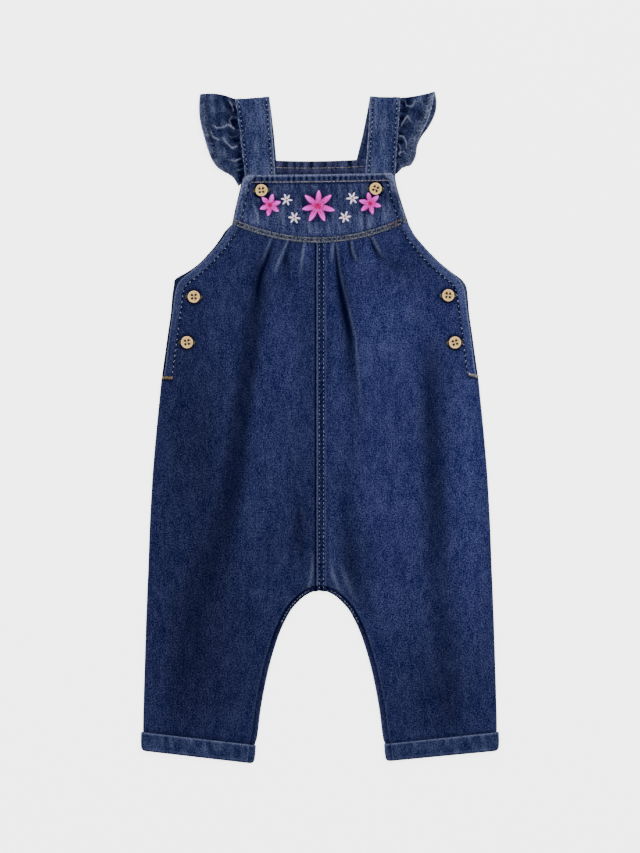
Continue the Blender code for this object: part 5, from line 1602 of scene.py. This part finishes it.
def make_cuff(key, side):
    """A turned-up hem: a flat ring of cloth round the end of one leg."""
    table = np.array(CUFF_SECTIONS[key])
    depth = table[0, 1] - table[-1, 1]
    shares = shares_across(depth, 0.8, 0.7, 4)
    sections = read_sections(table, shares * (len(table) - 1))
    to_fold = depth * np.minimum(shares, 1 - shares)
    grids = []
    for is_inner in (False, True):
        rows = []
        for section, share, to_end in zip(sections, shares, to_fold):
            outer_x, outer_y, inner_x, inner_y = section
            near = CUFF_ROUND - min(depth * (1 - share), CUFF_ROUND)
            cut = CUFF_ROUND - sqrt(CUFF_ROUND ** 2 - near ** 2)
            away = CUFF_CLOTH if is_inner else rolled(to_end)
            ring = rounded_ring(inner_x + away + cut, outer_x - away - cut, away,
                                CUFF_HEIGHT - away, CUFF_CORNER - away)
            share = (ring[:, 0] - inner_x) / (outer_x - inner_x)
            y = inner_y + share * (outer_y - inner_y)
            rows.append(np.column_stack([side * ring[:, 0], y, ring[:, 1]]))
        grids.append(np.array(rows))
    outer, inner = grids
    x, y, z = (outer[..., axis] for axis in range(3))
    on_face = ease(z, 3.5, 4.6)
    to_top = (depth * shares)[:, None] + 0 * x
    from_bottom = depth - to_top
    inner_x = sections[:, 2][:, None]
    across = side * x - inner_x
    pinch = waves(x + 0.2 * y, 7, CUFF_SEEDS[key])
    height = 0.14 * pinch * (0.4 + 0.6 * inside(to_top, 0, 9))
    height += 0.12 * swells(x, y, 13, 9, 73)
    height += 0.34 * bump(across, CUFF_SEAM - 1.6, 1.3)
    height -= 0.3 * bump(across, CUFF_SEAM, 0.6)
    outer[..., 2] += height * on_face * ease(to_fold[:, None], 0, 1.5)
    around = np.linalg.norm(np.diff(outer, axis=1, append=outer[:, :1]), axis=2).cumsum(axis=1)
    # Paler along the top fold: wear and painted highlight
    wear = inside(to_top, 0.5, 1.7) + 0.3 * bump(from_bottom, 2.4, 0.8)
    wear += 0.25 * clamp(pinch) * inside(to_top, 2, 12)
    wear += 0.2 * clamp(swells(x, y, 9, 12, 74))
    wear += 0.6 * bump(across, CUFF_SEAM + 1.1, 0.5)
    # Painted shade in the puckers, beside the seam's stitch row and along the lower fold
    deep = 0.1 * clamp(-pinch) * ease(to_top, 1, 5)
    deep += 0.5 * bump(across, CUFF_SEAM - 0.1, 0.7) + 0.5 * inside(from_bottom, 0.3, 1.6)
    deep += 0.22 * clamp(-swells(x, y, 9, 12, 74))
    cloth = np.stack([around, to_top], axis=2)
    return cloth_piece("cuff_" + key, outer, inner, cloth, wear, deep, "cuff_denim", closed=True)


def on_front(path, key, above=0.12):
    """A plan path laid on the face of a front."""
    return np.column_stack([path, front_top(*path.T, key) + above])


def on_yoke(path, above=0.12):
    """A plan path laid on the face of the front yoke."""
    return np.column_stack([path, yoke_top(*path.T) + above])


def on_half(path, side):
    """A plan path on the half at positive x, moved to either half."""
    x = side * path[:, 0]
    return np.column_stack([x, path[:, 1] + lean(x, path[:, 1])])


def zigzag(path, width, pitch):
    """A closely zigzagging path over a straight or curved plan path."""
    run = with_run(path)
    count = max(int(run[-1, 2] / pitch) * 2, 2)
    places = np.linspace(0, run[-1, 2], count + 1)
    x = np.interp(places, run[:, 2], run[:, 0])
    y = np.interp(places, run[:, 2], run[:, 1])
    way = np.gradient(np.column_stack([x, y]), axis=0)
    way /= np.linalg.norm(way, axis=1, keepdims=True)
    turn = np.where(np.arange(count + 1) % 2, 0.5, -0.5)[:, None] * width
    return np.column_stack([x, y]) + turn * way[:, ::-1] * (1, -1)


def petal(centre, angle, start, reach, half_width, count):
    """Strands of one satin-stitched petal, as paths."""
    t = np.linspace(0, 1, 9)
    spread = half_width * np.interp(t, *np.transpose(PETAL_WIDTHS))
    run = start + (reach - start) * t
    found = []
    for place in np.linspace(-1, 1, count):
        side = place * spread
        x = centre[0] + run * cos(angle) - side * sin(angle)
        y = centre[1] + run * sin(angle) + side * cos(angle)
        crown = 0.55 * sqrt(1 - 0.75 * place * place) * np.sin(pi * t) ** 0.5
        found.append(np.column_stack([x, y, yoke_top(x, y) + 0.08 + crown]))
    return found


def circle(radius, count):
    """Points round a circle in the plan."""
    return [(radius * cos(TURN * k / count), radius * sin(TURN * k / count))
            for k in range(count)]


def knots(centre, ring, count, size, height):
    """Small closed loops of thread round a flower's centre."""
    turn = np.linspace(0, TURN, 9)
    found = []
    for spot_x, spot_y in [(0, 0)] + circle(ring, count):
        x = centre[0] + spot_x + size * np.cos(turn)
        y = centre[1] + spot_y + size * np.sin(turn)
        found.append(np.column_stack([x, y, yoke_top(x, y) + height + 0.08 * np.sin(3 * turn)]))
    return found


def make_flowers():
    """The embroidered daisies and small stars on the front yoke."""
    draw = np.random.default_rng(83)
    petals, places, hearts, stars, dots = [], [], [], [], []
    along = np.linspace(0, 1, 9)
    for x, y, reach, half_width, count, turn, threads in DAISIES:
        for k in range(count):
            angle = radians(turn) + TURN * k / count + draw.uniform(-0.07, 0.07)
            long = reach * draw.uniform(0.94, 1.04)
            petals += petal((x, y), angle, 0.1 * reach, long, half_width, threads)
            rims = np.abs(np.linspace(-1, 1, threads)) ** 3
            places += [along - 0.35 * rim + draw.uniform(-0.22, 0.22) for rim in rims]
            hearts += petal((x, y), angle, 0.04 * reach, 0.34 * reach, 0.045 * reach, 3)
        hearts += knots((x, y), 0.075 * reach + 0.35, 6, 0.6, 0.85)
    for x, y, reach, half_width, count, turn, threads in STARS:
        for k in range(count):
            angle = radians(turn) + TURN * k / count + draw.uniform(-0.09, 0.09)
            long = reach * draw.uniform(0.9, 1.05)
            stars += petal((x, y), angle, 0.18 * reach, long, half_width, threads)
        dots += knots((x, y), 0.45, 4, 0.34, 0.6)
    strands("daisy_petals", petals, "petal", 0.34, alongs=places)
    strands("daisy_hearts", hearts, "crimson", 0.3)
    strands("star_petals", stars, "white", 0.36)
    strands("star_hearts", dots, "rust", 0.24)


def button_disc():
    """The turned blank of a button."""
    count = BUTTON_SEGMENTS
    profile = BUTTON_PROFILE[1:-1]
    points = [(0, 0, BUTTON_PROFILE[0][1])]
    for radius, height in profile:
        points += [(x, y, height) for x, y in circle(radius, count)]
    points.append((0, 0, BUTTON_PROFILE[-1][1]))
    faces = []
    for k in range(count):
        after = (k + 1) % count
        faces.append((0, 1 + after, 1 + k))
        for low in range(1, 1 + (len(profile) - 1) * count, count):
            faces.append((low + k, low + after, low + count + after, low + count + k))
        low = 1 + (len(profile) - 1) * count
        faces.append((low + k, low + after, len(points) - 1))
    return put("button_disc", raw_mesh("button_disc", points, [], faces))


def button_drill(x, y):
    """A round bar through a button where a hole goes."""
    count = HOLE_SEGMENTS
    ring = circle(HOLE_RADIUS, count)
    points = [(x + px, y + py, z) for z in (-1, 4) for px, py in ring]
    faces = [(k, (k + 1) % count, count + (k + 1) % count, count + k) for k in range(count)]
    faces += [tuple(reversed(range(count))), tuple(range(count, 2 * count))]
    return put("drill", raw_mesh("drill", points, [], faces))


def button_mesh():
    """A dished wooden button with four holes, on the floor at the middle."""
    disc = button_disc()
    drills = [button_drill(x, y) for x in (-HOLE_OFFSET, HOLE_OFFSET)
              for y in (-HOLE_OFFSET, HOLE_OFFSET)]
    for drill in drills:
        cut = disc.modifiers.new("hole", "BOOLEAN")
        cut.operation = "DIFFERENCE"
        cut.solver = "EXACT"
        cut.object = drill
    made = evaluated_mesh(disc)
    for used in drills + [disc]:
        bpy.data.objects.remove(used, do_unlink=True)
    radius = np.array([hypot(*vertex.co.xy) / MM for vertex in made.vertices])
    # Painted highlight on the rim and painted shade inside it, at its edge and in the holes
    tone = np.interp(radius, *np.transpose(BUTTON_TONE_AND_LIGHT)).astype(np.float32)
    for index, vertex in enumerate(made.vertices):
        x, y, z = (abs(c) / MM for c in vertex.co)
        if hypot(x - HOLE_OFFSET, y - HOLE_OFFSET) < 1.05 * HOLE_RADIUS:
            tone[index] = HOLE_RIM_SHADE if z > 1 else HOLE_SHADE
    made.attributes.new("tone", "FLOAT", "POINT").data.foreach_set("value", tone)
    made.shade_smooth()
    made.set_sharp_from_angle(angle=radians(BUTTON_CREASE_ANGLE))
    return made


def turned_by(x, y, angle):
    """Plan points turned about the middle."""
    return x * cos(angle) - y * sin(angle), x * sin(angle) + y * cos(angle)


def make_button(node, disc, turn):
    """A button where its node is; returns the thread that crosses its holes, and its centre."""
    low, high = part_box(node)
    centre = ((low.x + high.x) / 2, (low.y + high.y) / 2)
    mesh = disc.copy()
    mesh.transform(Matrix.Translation((*centre, low.z)) @ Matrix.Rotation(turn, 4, "Z"))
    mesh.materials.clear()
    mesh.materials.append(WOOD)
    piece = link_piece(node + "_wood", mesh)
    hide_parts(node)
    centre = (centre[0] / MM, centre[1] / MM)
    t = np.linspace(0, 1, 9)
    rise = low.z / MM + 0.2 + 1.56 * np.sin(pi * t) ** 0.5
    along = (HOLE_OFFSET - 0.4) * (2 * t - 1)
    paths = []
    for slope, over in ((1, 0.1), (-1, 0)):
        x, y = turned_by(along, slope * along, turn)
        paths.append(np.column_stack([centre[0] + x, centre[1] + y, rise + over]))
    return paths, centre


def oval(centre, half_length, radius, tilt):
    """A closed long oval in the plan."""
    bend = np.linspace(-pi / 2, pi / 2, 9)
    right = np.column_stack([half_length - radius + radius * np.cos(bend), radius * np.sin(bend)])
    ring = np.concatenate([right, -right, right[:1]])
    return np.column_stack(turned_by(*ring.T, tilt)) + centre


def band_line(name, distance, from_last, part, above):
    """A path on a band's face at a distance from one edge, over a part of its rows."""
    outer, shares, _ = BANDS[name]
    first, last = (int(share * len(outer)) for share in part)
    path = []
    for row in outer[first:last]:
        width = np.linalg.norm(row[-1] - row[0])
        if width < 2.2 * distance:
            continue
        share = 1 - distance / width if from_last else distance / width
        point = np.array([np.interp(share, shares, values) for values in row.T])
        point[2] = point[2] + above if above > 0 else max(point[2], -above)
        path.append(point)
    return np.array(path)


def between(path, axis, low, high):
    """The part of a plan path whose x (axis 0) or y (axis 1) lies between two values."""
    return path[(path[:, axis] >= low) & (path[:, axis] <= high)]


def at_height(path, height=UNDER_STITCH):
    """A plan path at one height, or with a height for each point."""
    return np.column_stack([path, np.broadcast_to(height, len(path))])


def sew_leg(key, side):
    """The stitches of one half: armhole, inseam and the same on the back."""
    hem = between(inset(SIDE_OUTLINES[side], ARMHOLE_STITCH), 1, *SPANS["armhole"])
    inseam = on_half(between(inset(INSEAM_OUTLINE, -INSEAM_STITCH), 1, *SPANS["inseam"]), side)
    sew_dotted("armhole_stitches_" + key, [on_front(on_half(hem, side), key)], 3, 3.3, 4.7)
    sew("inseam_stitches_" + key, [on_front(inseam, key, 0.02)], "navy", width=0.26, seed=4)
    arch = on_half(between(inset(INSEAM_OUTLINE, -2.3), 1, *SPANS["arch"]), side)
    sew("arch_flecks_" + key, [on_front(arch, key, 0.02)], "dusk", 2.9, 1.6, 0.5, uneven=0.6,
        seed=23)
    hem = between(inset(BACK_OUTLINES[side], ARMHOLE_STITCH), 1, *SPANS["armhole"])
    under = [at_height(on_half(hem, side)),
             at_height(inseam, back_rise(inseam[:, 0], inseam[:, 1]) + UNDER_STITCH)]
    sew("back_stitches_" + key, under, "beige", width=0.26, rise=SUNK_RISE, seed=5)


def sew_centre():
    """The rows of the felled centre seam, front and back."""
    y = np.linspace(*SPANS["centre"], 160)
    first, second, *backs = (np.column_stack([np.full(len(y), x), y])
                             for x in CENTRE_STITCHES + BACK_CENTRE_STITCHES)
    first = on_front(first, "right")
    sew("centre_stitches_first", [first], "navy", 3.7, 2.8, 0.42, seed=6)
    sew("centre_stitches_second", [on_front(second, "right")], "ash", 3.7, 1.5, 0.25, uneven=0.5,
        seed=7)
    sew("centre_flecks", [first + (0, 0, 0.25)], "ash", 3.7, 1.2, 0.3, uneven=0.6, seed=22)
    sew("back_centre_stitches", [at_height(row) for row in backs], "gold", 3.8, 2.9, 0.28,
        rise=SUNK_RISE, seed=8)


def sew_yokes():
    """The rows of the front yoke's hems and seam, and those of the back yoke."""
    top, seam, left, right = YOKE_OUTLINES
    hem = between(inset(top, YOKE_HEM_STITCH), 0, *SPANS["yoke hem"])
    sew("yoke_hem_stitches", [on_yoke(hem)], "bronze", 3.1, 2.5, 0.38, uneven=0.3, seed=9)
    sides = [between(inset(left, -YOKE_SIDE_STITCH), 1, *SPANS["yoke side"]),
             between(inset(right, YOKE_SIDE_STITCH), 1, *SPANS["yoke side"])]
    sew_dotted("yoke_side_stitches", [on_yoke(path) for path in sides], 10, 3.3, 5.4)
    rows = [between(inset(seam, -distance), 0, -75.5, 75.5) for distance in YOKE_SEAM_STITCHES]
    # Dark rows showing as dark gaps between the pale stitches: dark thread and partly painted shade
    sew("yoke_seam_stitches", [on_yoke(row, 0) for row in rows], "navy", 2.8, 2.7, 0.6, seed=11)
    start, end = YOKE_SEAM_BROWN
    parts = {
        "middle": ("stone", [between(row, 0, -80, start) for row in rows]
                   + [between(row, 0, end, 80) for row in rows]),
        "end": ("russet", [between(row, 0, start, end) for row in rows]),
    }
    for part, (thread, paths) in parts.items():
        sew("yoke_seam_top_" + part, [on_yoke(path, 0.3) for path in paths], thread, 2.3, 1.9,
            0.74, uneven=0.45, seed=18)
    middle = between(inset(seam, -sum(YOKE_SEAM_STITCHES) / 2), 0, -75, 75)
    for part, thread, pitch, seed in (("pale", "stone", 3.9, 20), ("brown", "russet", 9, 21)):
        sew("yoke_seam_fibres_" + part, [on_yoke(middle, 0)], thread, pitch, 1.5, 0.5,
            uneven=0.6, seed=seed)
    neck = inset(BACK_YOKE_OUTLINES[0], NECK_STITCH)
    seen = at_height(between(neck, 0, *SPANS["neck"]), CLOTH + 0.24)
    sew("neck_stitches", [seen], "bronze", 3.4, 2.8, 0.24, seed=12)
    under = [inset(BACK_YOKE_OUTLINES[1], -distance) for distance in YOKE_SEAM_STITCHES] + [neck]
    sew("back_yoke_stitches", [at_height(row) for row in under], "gold", 3.4, 2.8, 0.28,
        rise=SUNK_RISE, seed=13)


def sew_bands(key):
    """The rows of a strap and of its ruffle."""
    strap = "strap_" + key
    turn = BANDS[strap][2]
    rows = [band_line(strap, STRAP_STITCH, last, (0, turn), 0.12) for last in (False, True)]
    sew_dotted("strap_stitches_" + key, rows, 14)
    rows = [band_line(strap, STRAP_STITCH, last, (turn + 0.08, 1), -0.2) for last in (False, True)]
    sew("strap_back_stitches_" + key, rows, "navy", 3.3, 2.5, 0.27, rise=SUNK_RISE, seed=15)
    ruffle = "ruffle_" + key
    turn = BANDS[ruffle][2]
    hem = band_line(ruffle, RUFFLE_HEM_STITCH, True, (0, turn), 0.1)
    sew("ruffle_stitches_" + key, [hem], "navy", 2.5, 1.8, 0.3, seed=16)
    sew("ruffle_flecks_" + key, [hem + (0, 0, 0.3)], "dusk", 3.7, 1.2, 0.3, uneven=0.5, seed=24)
    hem = band_line(ruffle, RUFFLE_HEM_STITCH, True, (turn + 0.09, 1), -0.2)
    sew("ruffle_back_stitches_" + key, [hem], "beige", 3.4, 2.2, 0.22, rise=SUNK_RISE, seed=17)


def make_sewing():
    """Every row of stitches and bar."""
    for key, side in SIDES.items():
        sew_leg(key, side)
    sew_centre()
    sew_yokes()
    for key in SIDES:
        sew_bands(key)
    for key, (thread, width) in SIDE_BAR_THREADS.items():
        bar = on_front(zigzag(np.linspace(*SIDE_BAR[key], 12), 2.3, 0.44), key, 0.35)
        strands("side_bar_" + key, [bar], thread, width)


def make_buttons():
    """The buttons, their thread and the worked buttonholes under them."""
    disc = button_mesh()
    threads, holes = [], []
    for node, key, tilt, turn in BUTTONS:
        paths, centre = make_button(node, disc, turn)
        threads += paths
        ring = zigzag(oval(centre, BUTTONHOLE_HALF, 1.25, tilt), 1.5, 0.55)
        holes.append(on_front(ring, key, 0.22) if key else on_yoke(ring, 0.22))
    strands("button_threads", threads, "button", 0.14)
    strands("buttonholes", holes, "olive", 0.3)


def make_floor():
    """A plain pale floor under the garment."""
    corners = [(x * FLOOR_REACH, y * FLOOR_REACH, FLOOR_HEIGHT)
               for x, y in ((-1, -1), (1, -1), (1, 1), (-1, 1))]
    mesh = raw_mesh("floor", corners, [], [(0, 1, 2, 3)])
    made, tree, shader = new_material("floor_paper")
    patch = noise(tree, add(tree, "ShaderNodeTexCoord").outputs["Object"], 3)
    feed(tree, shader, {
        "Base Color": blend(tree, patch, (*FLOOR_LOW, 1), (*FLOOR_HIGH, 1)), "Roughness": 0.9,
        "Specular IOR Level": 0.1, "Emission Color": (1, 1, 1, 1),
        "Emission Strength": FLOOR_GLOW})
    mesh.materials.append(made)
    put("floor", mesh)


def make_camera():
    """A long lens straight above the garment."""
    data = bpy.data.cameras.new("above")
    data.lens = LENS
    data.sensor_width = SENSOR
    data.clip_end = 100
    camera = put("above", data)
    camera.location = (0, FRAME_MIDDLE * MM, FRAME_LENGTH * MM * LENS / SENSOR)
    bpy.context.scene.camera = camera


def make_light(name, place, size, power):
    """A soft square light aimed at the garment."""
    data = bpy.data.lights.new(name, "AREA")
    data.shape = "SQUARE"
    data.size = size
    data.energy = power
    light = put(name, data)
    light.location = place
    light.rotation_euler = Vector(place).to_track_quat("Z", "Y").to_euler()


def make_world():
    """Even pale light from all round."""
    world = bpy.data.worlds.new("studio")
    world.use_nodes = True
    sky = world.node_tree.nodes["Background"]
    sky.inputs["Color"].default_value = (0.93, 0.95, 1, 1)
    sky.inputs["Strength"].default_value = WORLD_STRENGTH
    bpy.context.scene.world = world


make_camera()
make_world()
for name, place, size, power in LIGHTS:
    make_light(name, place, size, power)
make_floor()

WEAVE = make_weave_group()
PLY = make_ply_group()
STITCH_TREE = make_stitch_tree()
STRAND_TREE = make_strand_tree()

DENIMS = {name: denim_finish(name, *dyes) for name, dyes in DENIM_DYES.items()}
THREADS = {name: thread_finish(name + "_thread", *look) for name, look in THREAD_LOOKS.items()}
THREADS["petal"] = petal_finish("petal_thread", *PETAL_COLOURS)
WOOD = wood_finish("button_wood", *WOOD_COLOURS)

SIDE_OUTLINES = {side: side_outline(side) for side in (-1, 1)}
INSEAM_OUTLINE = inseam_outline()
YOKE_OUTLINES = yoke_outlines(YOKE_SECTIONS)
BACK_YOKE_OUTLINES = yoke_outlines(BACK_YOKE_SECTIONS)
BACK_OUTLINES = {side: side_outline(side, back=True) for side in (-1, 1)}
BANDS = {}

for key, side in SIDES.items():
    make_front(key, side)
    make_back(key, side)
    make_strap(key)
    make_ruffle(key)
    make_cuff(key, side)
make_front_yoke()
make_back_yoke()
make_sewing()
make_buttons()
make_flowers()
